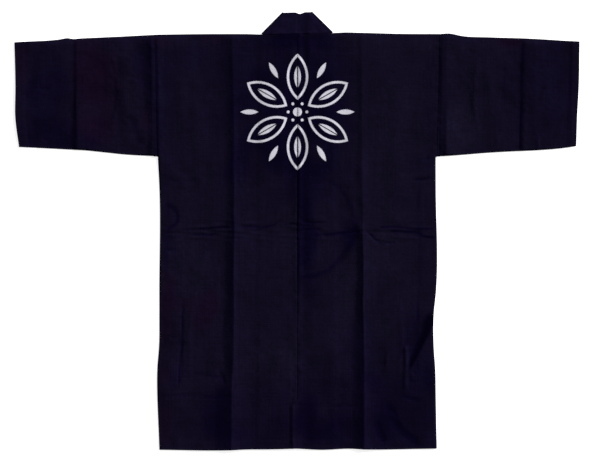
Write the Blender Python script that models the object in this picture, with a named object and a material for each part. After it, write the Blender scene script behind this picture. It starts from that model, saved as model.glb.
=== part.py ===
"""A happi coat laid flat, back up: two body panels, two sleeves and one collar band.

Metres, +Z up, +X to the right, +Y towards the collar, the underside at z = 0.
Each piece is a wall of cloth. A body panel is one length of cloth that runs from the back
hem over the shoulder to the front hem, with its back lying on its front. A sleeve is a
tube pressed flat, and the collar is one band, folded under at both sides of the neck and
run down the fronts. Neighbours stay GAP apart where they are sewn together.
"""

import math
from collections import namedtuple

import bmesh
import bpy

LEFT = -1
RIGHT = 1

# Cloth
CLOTH = 0.0012  # one layer of cotton
BAND_CLOTH = 0.0024  # the collar, cloth doubled
GAP = 0.0003  # between layers, and between pieces at a seam
TURN = CLOTH + GAP / 2  # how far the outside of a folded or seamed edge stands out
TURN_STEPS = 4  # faces round such an edge

# Heights, from the hem (y < 0) to the shoulder (y > 0)
UNDERARM_Y = 0.1665
ARMHOLE_FOOT_Y = 0.1685
WAIST_Y = 0.0117  # the crease from storing the coat folded in half
FRONT_HEM_RISE = 0.002  # the fronts end a little above the back's hem

# The layers: the fronts and the collar lie on the ground, and the back on both
BACK_Z = CLOTH + GAP
BACK_OVER_BAND_Z = BAND_CLOTH + GAP
BAND_SLOPE = 0.020  # the back comes down from the band to the front in this width
SEAM_DIP = 0.0008  # how far the back sinks between the two bands
SEAM_DIP_WIDTH = 0.008
SEAM_DIP_END_Y = -0.370
LEFT_SHARES = (0.35, 0.7)  # two more lines of points, from the left fold to the side seam

Pair = namedtuple("Pair", "at left right")
Ridge = namedtuple("Ridge", "y out height inner outer")
Crease = namedtuple("Crease", "out y height")
Line = namedtuple("Line", "y drift")
Station = namedtuple("Station", "share top bottom lift")
Cuff = namedtuple("Cuff", "y left right")
Seam = namedtuple("Seam", "y x")

# Centre back seam: where it lies at each height. It steps aside above the hem.
CENTRE_SEAM = (
    Seam(y=-0.392, x=-0.0155),
    Seam(y=-0.378, x=0.0013),
)

# How far each panel reaches from the middle: the side seam, then the armhole.
SIDE = (
    Pair(at=-0.490, left=0.3092, right=0.3149),
    Pair(at=-0.430, left=0.3118, right=0.3136),
    Pair(at=-0.378, left=0.3138, right=0.3127),
    Pair(at=-0.310, left=0.3140, right=0.3114),
    Pair(at=-0.256, left=0.3100, right=0.3077),
    Pair(at=-0.190, left=0.3094, right=0.3077),
    Pair(at=-0.140, left=0.3094, right=0.3127),
    Pair(at=0.100, left=0.3094, right=0.3126),
    Pair(at=UNDERARM_Y, left=0.3128, right=0.3124),
)
ARMHOLE = (
    Pair(at=ARMHOLE_FOOT_Y, left=0.3140, right=0.3155),
    Pair(at=0.444, left=0.3204, right=0.3220),
)

# The shoulder fold's height, by the distance from the middle.
SHOULDER = (
    Pair(at=0.080, left=0.4427, right=0.4459),
    Pair(at=0.108, left=0.4436, right=0.4473),
    Pair(at=0.145, left=0.4438, right=0.4465),
    Pair(at=0.240, left=0.4434, right=0.4441),
    Pair(at=0.322, left=0.4422, right=0.4438),
)

# The back's hem, by the distance from the middle.
HEM = (
    Pair(at=0.000, left=-0.4890, right=-0.4890),
    Pair(at=0.055, left=-0.4905, right=-0.4916),
    Pair(at=0.120, left=-0.4912, right=-0.4893),
    Pair(at=0.155, left=-0.4926, right=-0.4906),
    Pair(at=0.314, left=-0.4917, right=-0.4889),
)

# The folds that run down the back: a crest, and how wide its two flanks are.
STORAGE_RIDGE = {
    LEFT: (
        Ridge(y=-0.490, out=0.1480, height=0.0034, inner=0.026, outer=0.026),
        Ridge(y=-0.300, out=0.1452, height=0.0035, inner=0.026, outer=0.026),
        Ridge(y=-0.150, out=0.1449, height=0.0032, inner=0.022, outer=0.022),
        Ridge(y=0.100, out=0.1447, height=0.0028, inner=0.016, outer=0.014),
        Ridge(y=0.440, out=0.1450, height=0.0016, inner=0.013, outer=0.012),
    ),
    RIGHT: (
        Ridge(y=-0.490, out=0.1490, height=0.0034, inner=0.022, outer=0.024),
        Ridge(y=-0.300, out=0.1462, height=0.0035, inner=0.022, outer=0.024),
        Ridge(y=-0.020, out=0.1450, height=0.0029, inner=0.018, outer=0.020),
        Ridge(y=0.100, out=0.1450, height=0.0013, inner=0.014, outer=0.016),
        Ridge(y=0.440, out=0.1450, height=0.0009, inner=0.012, outer=0.012),
    ),
}
# A tuck that starts at the right side seam and slants inwards.
SIDE_TUCK = (
    Ridge(y=-0.330, out=0.2560, height=0.0000, inner=0.018, outer=0.012),
    Ridge(y=-0.300, out=0.2620, height=0.0018, inner=0.016, outer=0.012),
    Ridge(y=-0.256, out=0.2850, height=0.0035, inner=0.020, outer=0.011),
    Ridge(y=-0.215, out=0.2960, height=0.0035, inner=0.020, outer=0.008),
    Ridge(y=-0.170, out=0.2960, height=0.0000, inner=0.018, outer=0.008),
)
# The crease across the waist, from the middle outwards.
WAIST = {
    LEFT: (
        Crease(out=0.010, y=0.0240, height=0.0004),
        Crease(out=0.080, y=0.0220, height=0.0008),
        Crease(out=0.145, y=WAIST_Y, height=0.0006),
        Crease(out=0.250, y=WAIST_Y, height=0.0014),
        Crease(out=0.310, y=0.0100, height=0.0014),
    ),
    RIGHT: (
        Crease(out=0.010, y=0.0220, height=0.0004),
        Crease(out=0.080, y=0.0020, height=0.0008),
        Crease(out=0.145, y=0.0100, height=0.0010),
        Crease(out=0.250, y=WAIST_Y, height=0.0012),
        Crease(out=0.310, y=WAIST_Y, height=0.0014),
    ),
}
WAIST_HALF_WIDTH = 0.011

# The rows of a panel's grid between hem and shoulder. Drift is the share of the waist
# crease's wandering that a row follows.
ROWS = (
    Line(y=-0.440, drift=0),
    Line(y=-0.392, drift=0),
    Line(y=-0.378, drift=0),
    Line(y=-0.330, drift=0),
    Line(y=-0.300, drift=0),
    Line(y=-0.278, drift=0),
    Line(y=-0.256, drift=0),
    Line(y=-0.235, drift=0),
    Line(y=-0.215, drift=0),
    Line(y=-0.190, drift=0),
    Line(y=-0.170, drift=0),
    Line(y=-0.140, drift=0),
    Line(y=-0.060, drift=0.5),
    Line(y=WAIST_Y - WAIST_HALF_WIDTH, drift=1),
    Line(y=WAIST_Y, drift=1),
    Line(y=WAIST_Y + WAIST_HALF_WIDTH, drift=1),
    Line(y=0.100, drift=0.3),
    Line(y=UNDERARM_Y, drift=0),
    Line(y=ARMHOLE_FOOT_Y, drift=0),
    Line(y=0.250, drift=0),
    Line(y=0.350, drift=0),
    Line(y=0.425, drift=0),
)

# Collar band
BAND_WIDTH = 0.0474
NECK = {LEFT: (-0.0782, 0.4430), RIGHT: (0.0797, 0.4462)}  # where it folds under
BAND_HEM_OUT = 0.0840  # its sewn edge's distance from the middle at the hem
BAND_HEM_Y = -0.4870
NOTCH_X = 0.0068  # a small dip in its upper edge
NOTCH_DEPTH = 0.0035
NOTCH_HALF_WIDTH = 0.012
NOTCH_PLACES = (-2.0, -1.0, 0.0, 1.0, 1.6)  # sections about it, in its half widths
BAND_FOLD_STEPS = 6
BAND_FRONT_SHARES = (0.02, 0.08, 0.2, 0.4, 0.6, 0.8, 1.0)

# Sleeves, by the share of the way from armhole to cuff. Lift raises the upper layer.
SLEEVE = {
    LEFT: (
        Station(share=0.00, top=0.4418, bottom=0.1683, lift=0.0000),
        Station(share=0.02, top=0.4417, bottom=0.1686, lift=0.0022),
        Station(share=0.06, top=0.4410, bottom=0.1693, lift=0.0012),
        Station(share=0.11, top=0.4399, bottom=0.1702, lift=0.0003),
        Station(share=0.22, top=0.4383, bottom=0.1720, lift=0.0014),
        Station(share=0.40, top=0.4357, bottom=0.1778, lift=0.0006),
        Station(share=0.54, top=0.4335, bottom=0.1820, lift=0.0016),
        Station(share=0.58, top=0.4325, bottom=0.1826, lift=0.0003),
        Station(share=0.62, top=0.4343, bottom=0.1833, lift=0.0016),
        Station(share=0.68, top=0.4315, bottom=0.1843, lift=0.0009),
        Station(share=0.94, top=0.4262, bottom=0.1885, lift=0.0004),
        Station(share=1.00, top=0.4250, bottom=0.1895, lift=0.0003),
    ),
    RIGHT: (
        Station(share=0.00, top=0.4437, bottom=0.1683, lift=0.0000),
        Station(share=0.06, top=0.4450, bottom=0.1690, lift=0.0018),
        Station(share=0.16, top=0.4392, bottom=0.1712, lift=0.0012),
        Station(share=0.36, top=0.4363, bottom=0.1762, lift=0.0006),
        Station(share=0.56, top=0.4344, bottom=0.1797, lift=0.0010),
        Station(share=0.60, top=0.4340, bottom=0.1802, lift=0.0003),
        Station(share=0.63, top=0.4335, bottom=0.1807, lift=0.0019),
        Station(share=0.70, top=0.4325, bottom=0.1816, lift=0.0008),
        Station(share=0.94, top=0.4278, bottom=0.1884, lift=0.0006),
        Station(share=1.00, top=0.4268, bottom=0.1915, lift=0.0003),
    ),
}
CUFF = (
    Cuff(y=0.190, left=0.6251, right=0.6283),
    Cuff(y=0.259, left=0.6333, right=0.6304),
    Cuff(y=0.318, left=0.6329, right=0.6337),
    Cuff(y=0.425, left=0.6354, right=0.6356),
)
SLEEVE_SPANS = (0.0, 0.08, 0.3, 0.5, 0.7, 0.92, 1.0)  # points across a layer

INDIGO = (0.0049, 0.0034, 0.0122, 1.0)
INDIGO_COLLAR = (0.0062, 0.0042, 0.0165, 1.0)
COTTON_ROUGHNESS = 0.88
SHARP_DEGREES = 40  # faces that meet at more than this keep a crisp edge


def clear_scene():
    for item in list(bpy.data.objects):
        bpy.data.objects.remove(item, do_unlink=True)


def ease(share):
    """From 0 to 1, level at both ends."""
    share = min(max(share, 0.0), 1.0)
    return share * share * (3 - 2 * share)


def bump(distance, half_width):
    """1 on a crest, and 0 from half_width away."""
    return ease(1 - abs(distance) / half_width)


def read(table, at, column):
    """A table's column at a place, straight between its rows, which go by their first value."""
    value = [getattr(row, column) for row in table]
    place = [row[0] for row in table]
    if at <= place[0]:
        return value[0]
    for i in range(1, len(table)):
        if at <= place[i]:
            share = (at - place[i - 1]) / (place[i] - place[i - 1])
            return value[i - 1] + share * (value[i] - value[i - 1])
    return value[-1]


def hand(side):
    return "left" if side == LEFT else "right"


class Wall:
    """Cloth of some thickness: pairs of points on its two faces, and the quads between them."""

    def __init__(self):
        self.outer = []
        self.inner = []
        self.number = {}
        self.quads = []

    def point(self, key, outer, inner):
        self.number[key] = len(self.outer)
        self.outer.append(outer)
        self.inner.append(inner)

    def strips(self, lines):
        """Quads between each line of keys and the next."""
        for one, other in zip(lines, lines[1:]):
            for i in range(len(one) - 1):
                keys = (one[i], one[i + 1], other[i + 1], other[i])
                self.quads.append([self.number[key] for key in keys])

    def rim(self):
        """The edges that only one quad uses, in that quad's direction."""
        used = {}
        for quad in self.quads:
            for i in range(4):
                edge = (quad[i], quad[(i + 1) % 4])
                used.setdefault(frozenset(edge), []).append(edge)
        return [edges[0] for edges in used.values() if len(edges) == 1]

    def build(self, name, colour):
        shape = bmesh.new()
        outer = [shape.verts.new(p) for p in self.outer]
        inner = [shape.verts.new(p) for p in self.inner]
        for quad in self.quads:
            shape.faces.new([outer[i] for i in quad])
            shape.faces.new([inner[i] for i in reversed(quad)])
        for a, b in self.rim():
            shape.faces.new((outer[b], outer[a], inner[a], inner[b]))
        bmesh.ops.recalc_face_normals(shape, faces=shape.faces)
        mesh = bpy.data.meshes.new(name)
        shape.to_mesh(mesh)
        shape.free()
        piece = bpy.data.objects.new(name, mesh)
        bpy.context.collection.objects.link(piece)
        mesh.shade_smooth()
        mesh.set_sharp_from_angle(angle=math.radians(SHARP_DEGREES))
        mesh.materials.append(cotton(name, colour))
        return piece


def cotton(name, colour):
    material = bpy.data.materials.new(name + "_cotton")
    material.use_nodes = True
    shader = material.node_tree.nodes["Principled BSDF"]
    shader.inputs["Base Color"].default_value = colour
    shader.inputs["Roughness"].default_value = COTTON_ROUGHNESS
    shader.inputs["Metallic"].default_value = 0.0
    return material


def turn_points(place, outwards, top, share):
    """The two faces of the cloth at a share of the way round an edge, from back to front.

    place is the last point of the back's and front's flat stretches, outwards the
    direction that the edge faces, and top the height of the back's upper face there.
    """
    angle = math.pi * share
    faces = []
    for high, low, reach in ((top, 0.0, TURN), (top - CLOTH, CLOTH, GAP / 2)):
        x = place[0] + outwards[0] * reach * math.sin(angle)
        y = place[1] + outwards[1] * reach * math.sin(angle)
        z = (high + low) / 2 + (high - low) / 2 * math.cos(angle)
        faces.append((x, y, z))
    return faces


def band_edge(side, y):
    """How far from the middle the collar is sewn to the front, at height y."""
    neck_out = side * NECK[side][0]
    share = (NECK[side][1] - y) / (NECK[side][1] - BAND_HEM_Y)
    return neck_out + share * (BAND_HEM_OUT - neck_out)


def panel_columns(side, y):
    """How far out each column of a body panel lies at height y, and which is at the collar."""
    seam = side * read(CENTRE_SEAM, y, "x") + GAP / 2
    collar = band_edge(side, y) + GAP
    columns = [seam, seam + SEAM_DIP_WIDTH, (seam + SEAM_DIP_WIDTH + collar) / 2]
    collar_column = len(columns)
    columns.append(collar)
    columns.append(collar + BAND_SLOPE)
    crest = read(STORAGE_RIDGE[side], y, "out")
    inner = read(STORAGE_RIDGE[side], y, "inner")
    outer = read(STORAGE_RIDGE[side], y, "outer")
    columns += [crest - inner, crest - inner / 2, crest, crest + outer / 2, crest + outer]
    if y > UNDERARM_Y:
        edge = read(ARMHOLE, y, hand(side)) - GAP / 2
    else:
        edge = read(SIDE, y, hand(side)) - TURN
    if side == RIGHT:
        tuck = read(SIDE_TUCK, y, "out")
        inner = read(SIDE_TUCK, y, "inner")
        middle = (crest + outer + tuck - inner) / 2
        columns += [middle, tuck - inner, tuck - inner / 2, tuck]
    else:
        columns += [columns[-1] + share * (edge - columns[-1]) for share in LEFT_SHARES]
    columns.append(edge)
    return columns, collar_column


def fold_height(table, out, y):
    """How much a fold that runs down the cloth raises it."""
    offset = out - read(table, y, "out")
    flank = read(table, y, "outer" if offset > 0 else "inner")
    return read(table, y, "height") * bump(offset, flank)


def back_underside(side, out, y):
    """The height of the back's lower face, where it lies on front, band and its own folds."""
    over_band = 1 - ease((out - band_edge(side, y) - GAP) / BAND_SLOPE)
    z = BACK_Z + over_band * (BACK_OVER_BAND_Z - BACK_Z)
    from_seam = out - side * read(CENTRE_SEAM, y, "x")
    if y > SEAM_DIP_END_Y:
        z -= SEAM_DIP * (1 - ease(from_seam / SEAM_DIP_WIDTH))
    z += fold_height(STORAGE_RIDGE[side], out, y)
    if side == RIGHT:
        z += fold_height(SIDE_TUCK, out, y)
    waist = read(WAIST[side], out, "y")
    z += read(WAIST[side], out, "height") * bump(y - waist, WAIST_HALF_WIDTH)
    return z


def make_body(side):
    """Back and front of one side, joined by the shoulder fold and the side seam."""
    wall = Wall()
    hem_y = HEM[0].left
    top_y = NECK[side][1]
    lines = [Line(hem_y, 0), *ROWS, Line(top_y, 0)]
    last = len(lines) - 1
    underarm = [line.y for line in lines].index(UNDERARM_Y)
    outs, collar_column = panel_columns(side, 0)
    edge_column = len(outs) - 1
    back = {}
    for j, line in enumerate(lines):
        outs, _ = panel_columns(side, line.y)
        for i, out in enumerate(outs):
            y = line.y + line.drift * (read(WAIST[side], out, "y") - WAIST_Y)
            front_y = y
            if j == 0:
                y = read(HEM, out, hand(side))
                front_y = y + FRONT_HEM_RISE
            elif j == last and i < collar_column:
                y = neck_line(side * out) - GAP
            elif j == last:
                y = read(SHOULDER, out, hand(side)) - TURN
                front_y = y
            z = back_underside(side, out, y)
            x = side * out
            back[i, j] = (x, y, z + CLOTH)
            wall.point(("back", i, j), (x, y, z + CLOTH), (x, y, z))
            if i >= collar_column:
                wall.point(("front", i, j), (x, front_y, 0.0), (x, front_y, CLOTH))
    columns = range(edge_column + 1)
    front_columns = range(collar_column, edge_column + 1)
    wall.strips([[("back", i, j) for i in columns] for j in range(last + 1)])
    wall.strips([[("front", i, j) for i in reversed(front_columns)] for j in range(last + 1)])
    side_lines = []
    for j in range(underarm + 1):
        side_lines.append(edge_line(wall, back, (edge_column, j), (side, 0), "side"))
    wall.strips(side_lines)
    shoulder_lines = []
    for i in reversed(front_columns):
        shoulder_lines.append(edge_line(wall, back, (i, last), (0, 1), "shoulder"))
    wall.strips(shoulder_lines)
    return wall.build("body_" + hand(side), INDIGO)


def edge_line(wall, back, place, outwards, name):
    """The keys round one point of an edge, from the back to the front."""
    x, y, top = back[place]
    keys = [("back", *place)]
    for k in range(1, TURN_STEPS):
        key = (name, k, *place)
        wall.point(key, *turn_points((x, y), outwards, top, k / TURN_STEPS))
        keys.append(key)
    keys.append(("front", *place))
    return keys


def make_sleeve(side):
    """A tube pressed flat: folded along its top, sewn along its underside, open at both ends."""
    wall = Wall()
    rings = []
    for number, station in enumerate(SLEEVE[side]):
        low = station.bottom + TURN
        high = station.top - TURN
        ring = []
        for i, span in enumerate(SLEEVE_SPANS):
            y = low + span * (high - low)
            inside = ease(span / SLEEVE_SPANS[1]) * ease((1 - span) / SLEEVE_SPANS[1])
            z = BACK_Z + station.lift * inside
            x = side * sleeve_out(side, station.share, y)
            wall.point(("upper", number, i), (x, y, z + CLOTH), (x, y, z))
            wall.point(("lower", number, i), (x, y, 0.0), (x, y, CLOTH))
        last = len(SLEEVE_SPANS) - 1
        ring += [("upper", number, i) for i in range(last + 1)]
        ring += sleeve_turn(wall, side, station, number, high, 1)
        ring += [("lower", number, i) for i in range(last, -1, -1)]
        ring += reversed(sleeve_turn(wall, side, station, number, low, -1))
        ring.append(ring[0])
        rings.append(ring)
    wall.strips(rings)
    return wall.build("sleeve_" + hand(side), INDIGO)


def sleeve_turn(wall, side, station, number, y, facing):
    """The keys round the sleeve's top fold (facing 1) or its underarm seam (facing -1)."""
    keys = []
    x = side * sleeve_out(side, station.share, y)
    for k in range(1, TURN_STEPS):
        key = ("turn", facing, k, number)
        share = k / TURN_STEPS
        wall.point(key, *turn_points((x, y), (0, facing), BACK_Z + CLOTH, share))
        keys.append(key)
    return keys


def sleeve_out(side, share, y):
    """The distance from the middle at a share of the way from the armhole to the cuff."""
    start = read(ARMHOLE, y, hand(side)) + GAP / 2
    return start + share * (read(CUFF, y, hand(side)) - start)


def neck_line(x):
    """The height of the seam between the backs and the collar."""
    (x0, y0), (x1, y1) = NECK[LEFT], NECK[RIGHT]
    return y0 + (x - x0) / (x1 - x0) * (y1 - y0)


def unit(x, y):
    size = math.hypot(x, y)
    return x / size, y / size


def collar_fold(side):
    """The line that the band folds about at one side of the neck: its two ends, and the
    direction that the fold faces."""
    (x0, y0), (x1, y1) = NECK[LEFT], NECK[RIGHT]
    across = unit(side * (x1 - x0), side * (y1 - y0))
    down = front_direction(side)
    line = unit(-across[0] - down[0], -across[1] - down[1])
    length = BAND_WIDTH / abs(line[0] * across[1] - line[1] * across[0])
    start = NECK[side]
    end = (start[0] + line[0] * length, start[1] + line[1] * length)
    facing = (side * line[1], -side * line[0])
    return start, end, facing


def front_direction(side):
    """The way the band runs down the front."""
    x, y = NECK[side]
    return unit(side * BAND_HEM_OUT - x, BAND_HEM_Y - y)


def collar_section(wall, key, start, end, angle, facing):
    """Two pairs of points: the band's sewn edge and its free edge.

    angle is 0 on the upper stretch, pi on the lower one, and between them round a fold.
    """
    middle_z = (BACK_OVER_BAND_Z + BAND_CLOTH) / 2
    keys = []
    for i, (x, y) in enumerate((start, end)):
        faces = []
        for radius in (BAND_CLOTH + GAP / 2, GAP / 2):
            shift = radius * math.sin(angle)
            z = middle_z + radius * math.cos(angle)
            faces.append((x + facing[0] * shift, y + facing[1] * shift, z))
        wall.point((*key, i), *faces)
        keys.append((*key, i))
    return keys


def between(a, b, share):
    return a[0] + share * (b[0] - a[0]), a[1] + share * (b[1] - a[1])


def collar_side(wall, side):
    """The sections of one side, from the upper end of the fold down to the front's hem."""
    start, end, facing = collar_fold(side)
    down = front_direction(side)
    sections = []
    for k in range(BAND_FOLD_STEPS + 1):
        angle = math.pi * k / BAND_FOLD_STEPS
        sections.append(collar_section(wall, (side, "fold", k), start, end, angle, facing))
    for share in BAND_FRONT_SHARES:
        feet = []
        for x, y in (start, end):
            run = share * (BAND_HEM_Y - y) / down[1]
            feet.append((x + down[0] * run, y + down[1] * run))
        key = (side, "front", share)
        sections.append(collar_section(wall, key, *feet, math.pi, facing))
    return sections


def make_collar():
    """One doubled band: up the left front, behind the neck and down the right front."""
    wall = Wall()
    left = collar_side(wall, LEFT)
    right = collar_side(wall, RIGHT)
    start_left, end_left, _ = collar_fold(LEFT)
    start_right, end_right, _ = collar_fold(RIGHT)
    neck = []
    length = end_right[0] - end_left[0]
    notch = (NOTCH_X - end_left[0]) / length
    step = NOTCH_HALF_WIDTH / length
    for place in NOTCH_PLACES:
        share = notch + place * step
        lower = between(start_left, start_right, share)
        upper = between(end_left, end_right, share)
        dip = NOTCH_DEPTH * bump(upper[0] - NOTCH_X, NOTCH_HALF_WIDTH)
        upper = (upper[0], upper[1] - dip)
        neck.append(collar_section(wall, ("neck", share), lower, upper, 0.0, (0, 1)))
    wall.strips([*reversed(left), *neck, *right])
    return wall.build("collar", INDIGO_COLLAR)


def main():
    clear_scene()
    for side in (LEFT, RIGHT):
        make_body(side)
        make_sleeve(side)
    make_collar()


main()
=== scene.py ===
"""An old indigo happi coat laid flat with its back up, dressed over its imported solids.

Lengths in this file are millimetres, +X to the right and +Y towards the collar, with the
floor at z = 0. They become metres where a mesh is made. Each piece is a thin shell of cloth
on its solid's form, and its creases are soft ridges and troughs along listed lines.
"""

import math
from collections import namedtuple

import bpy
import numpy as np
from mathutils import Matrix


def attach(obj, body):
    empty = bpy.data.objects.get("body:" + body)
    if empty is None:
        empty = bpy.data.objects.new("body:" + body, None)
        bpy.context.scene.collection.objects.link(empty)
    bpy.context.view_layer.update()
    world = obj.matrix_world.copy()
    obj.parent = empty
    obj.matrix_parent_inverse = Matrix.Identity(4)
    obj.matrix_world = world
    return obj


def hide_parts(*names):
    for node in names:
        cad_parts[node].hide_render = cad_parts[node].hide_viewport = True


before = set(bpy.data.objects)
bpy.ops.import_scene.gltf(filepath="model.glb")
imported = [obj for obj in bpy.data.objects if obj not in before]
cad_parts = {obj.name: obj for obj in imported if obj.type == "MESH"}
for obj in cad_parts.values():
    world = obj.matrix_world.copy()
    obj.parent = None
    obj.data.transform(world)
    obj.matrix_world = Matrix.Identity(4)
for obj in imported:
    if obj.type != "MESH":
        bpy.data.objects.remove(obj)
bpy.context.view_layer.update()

MM = 0.001
LEFT = -1
RIGHT = 1
HAND = {LEFT: "left", RIGHT: "right"}
UPPER = 0.0  # which layer a point is on, kept in the third texture coordinate
LOWER = 1.0
FAR = 99.0  # a distance at which no edge or seam has an effect

# Cloth
THICK = 0.9  # one layer of cotton
BAND_THICK = 1.9  # the collar, cloth doubled
GAP = 0.3  # between layers, and between pieces at a seam
CLEAR = 0.05  # enough that no two faces coincide
LOFT = 0.6  # air between two layers, away from their folded edges
LOFT_WIDTH = 25  # from such an edge to the full loft
HEM_DEPTH = 19  # how deep the hems and cuffs are turned up
HEM_STEP = 1.8  # how wide the step is where a hem ends
HEM_EXTRA = 0.15  # how much thicker the cloth is drawn in a hem
CUFF_EXTRA = 0.25
ALLOWANCE = 0.5  # the cloth that runs on beneath the neighbour at a seam
ALLOWANCE_REACH = np.array([0.8, 2.5, 7])
SEAM_OVERRUN = 2.0  # how far the centre seam's allowance runs on past the neck
TURN = 0.7  # how far the middle of the cloth stands out round a folded edge
TURN_STEPS = 4
CLOTH_TURN = 900  # the lower layer's texture runs back from here

# The cut, the same as the solids'. How far each panel reaches from the middle:
# height, left, right.
SIDE = (
    (-490, 309.2, 314.9), (-430, 311.8, 313.6), (-378, 313.8, 312.7), (-310, 314, 311.4),
    (-256, 310, 307.7), (-190, 309.4, 307.7), (-140, 309.4, 312.7), (100, 309.4, 312.6),
    (166.5, 312.8, 312.4),
)
ARMHOLE = ((168.5, 314, 315.5), (444, 320.4, 322))
UNDERARM_Y = 166.5
ARMHOLE_Y = UNDERARM_Y + 1  # the rows above it end at the armhole
# The shoulder fold's height: distance from the middle, left, right.
SHOULDER = (
    (80, 442.7, 445.9), (108, 443.6, 447.3), (145, 443.8, 446.5), (240, 443.4, 444.1),
    (322, 442.2, 443.8),
)
# The back's hem: distance from the middle, left, right.
HEM = (
    (0, -489, -489), (55, -490.5, -491.6), (120, -491.2, -489.3), (155, -492.6, -490.6),
    (314, -491.7, -488.9),
)
FRONT_HEM_RISE = 2.0  # above the back's
HEM_BLEND = 60  # over this height the rows come to follow the hem
TOP_BLEND = 40  # and over this one, the shoulder fold and the neck
SEAM_X = 1.3  # the centre back seam, and where it lies below the step
SEAM_LOW_X = -15.5
SEAM_STEP = (-392, -378)

NECK = {LEFT: (-78.2, 443.0), RIGHT: (79.7, 446.2)}  # where the collar folds under
NECK_MARGIN = 0.2  # a column this far outside its neck point is at the shoulder fold
BAND_WIDTH = 47.4
BAND_GAP = 0.9  # between its two layers behind the neck, where the allowances lie
NECK_TOP = BAND_THICK + BAND_GAP - CLEAR  # just under the upper of the two
BAND_HEM_OUT = 84.0  # where its sewn edge ends at the front's hem
BAND_HEM_Y = -487.0
NOTCH_X = 6.8  # the dip in the collar's top
NOTCH_DEPTH = 3.5
NOTCH_HALF_WIDTH = 12.0

# The sleeve's folded top and sewn underside: share of the way from armhole to cuff,
# top, bottom.
SLEEVE = {
    LEFT: (
        (0, 441.8, 168.3), (0.06, 441, 169.3), (0.22, 438.3, 172), (0.4, 435.7, 177.8),
        (0.54, 433.5, 182), (0.58, 432.5, 182.6), (0.62, 434.3, 183.3), (0.68, 431.5, 184.3),
        (0.94, 426.2, 188.5), (1, 425, 189.5),
    ),
    RIGHT: (
        (0, 443.7, 168.3), (0.06, 445, 169), (0.16, 439.2, 171.2), (0.36, 436.3, 176.2),
        (0.56, 434.4, 179.7), (0.6, 434, 180.2), (0.7, 432.5, 181.6), (0.94, 427.8, 188.4),
        (1, 426.8, 191.5),
    ),
}
# The cuff: height, left, right.
CUFF = ((190, 625.1, 628.3), (259, 633.3, 630.4), (318, 632.9, 633.7), (425, 635.4, 635.6))

# Grids. Runs of rows or columns: from, to, how many.
BODY_ROWS = (
    (-489, -465, 9), (-465, -320, 36), (-320, -180, 47), (-180, -32, 35), (-32, 62, 45),
    (62, 156, 24), (156, 180, 10), (180, 425, 60), (425, 443, 7),
)
# How many columns each strip of a panel has: two strips beside the centre seam, then on to the
# collar and to the storage fold, the fold's flank, crest and other flank, on towards the side,
# and the strip beside it.
BODY_COLUMNS = (3, 6, 15, 8, 7, 10, 7, 36, 4)
SEAM_STRIPS = (4, 16)  # how far from the seam the two beside it end
RIDGE_OUT = {LEFT: 143.5, RIGHT: 149.5}  # the middle of the storage fold's crest
RIDGE_REACH = (28, 6)  # how far from it the flanks' feet and the crest's sides are
SIDE_STRIP = 8
# The same for shares of the way along a sleeve, up it, and across the collar.
SLEEVE_COLUMNS = ((0, 0.11, 14), (0.11, 0.93, 104), (0.93, 1, 8))
SLEEVE_ROWS = ((0, 0.02, 4), (0.02, 0.98, 100), (0.98, 1, 4))
COLLAR_COLUMNS = ((0, 0.04, 4), (0.04, 0.96, 20), (0.96, 1, 5))
COLLAR_STEP = 3.0
COLLAR_FRONT_STEP = 6.0
COLLAR_FOLD_STEPS = 8


def ease(share):
    """From 0 to 1, level at both ends."""
    share = np.clip(share, 0.0, 1.0)
    return share * share * (3 - 2 * share)


def together(*columns):
    """One array of points or vectors from their columns."""
    return np.stack(np.broadcast_arrays(*columns), axis=-1)


def distance_along(points):
    return np.concatenate([[0], np.cumsum(np.hypot(*np.diff(points, axis=0).T))])


def curve(table, at, column):
    """A table's column at each place, on a smooth curve through its rows."""
    rows = np.array(table, float)
    place = rows[:, 0]
    value = rows[:, column]
    slope = np.gradient(value, place)
    at = np.clip(at, place[0], place[-1])
    i = np.clip(np.searchsorted(place, at) - 1, 0, len(place) - 2)
    span = place[i + 1] - place[i]
    t = (at - place[i]) / span
    start = (1 + 2 * t) * (1 - t) ** 2 * value[i] + t * (1 - t) ** 2 * span * slope[i]
    end = t * t * (3 - 2 * t) * value[i + 1] - t * t * (1 - t) * span * slope[i + 1]
    return start + end


def cut(table, side, at):
    """The curve for a side, in a table that goes by place, left, right."""
    return curve(table, at, 1 if side == LEFT else 2)


def seam_out(side, y):
    """The centre seam's distance from the middle, outwards on this side."""
    low, high = SEAM_STEP
    return side * (SEAM_LOW_X + (SEAM_X - SEAM_LOW_X) * ease((y - low) / (high - low)))


def band_edge(side, y):
    """How far from the middle the collar is sewn to the front."""
    neck_x, neck_y = NECK[side]
    share = (neck_y - y) / (neck_y - BAND_HEM_Y)
    return side * neck_x + share * (BAND_HEM_OUT - side * neck_x)


def neck_line(x):
    (x0, y0), (x1, y1) = NECK[LEFT], NECK[RIGHT]
    return y0 + (x - x0) / (x1 - x0) * (y1 - y0)


# Creases. A knot gives a place on the crest, its height, and the widths of the flanks to
# its left and right as one walks along the crease. A trough has a negative height.
Knot = namedtuple("Knot", "x y height left right")
Crease = namedtuple("Crease", "knots fade shape")


def long(*knots, shape="sharp"):
    """A crease that runs right on to an edge or seam, or whose knots bring it down to 0.

    What a knot leaves out is as in the knot before it.
    """
    full = [Knot(*knots[0])]
    for knot in knots[1:]:
        full.append(Knot(*knot, *full[-1][len(knot) :]))
    return Crease(full, 0, shape)


def short(height, left, right, *points, fade=18, shape="sharp"):
    """A crease of even height that runs out at both ends."""
    return Crease([Knot(x, y, height, left, right) for x, y in points], fade, shape)


def swell(height, left, right, *points, fade=40):
    """A crease with a rounded top."""
    return short(height, left, right, *points, fade=fade, shape="rounded")


def points_of(name):
    """The places that an upper crease runs through."""
    return [(knot.x, knot.y) for knot in UPPER_CREASES[name].knots]


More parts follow.
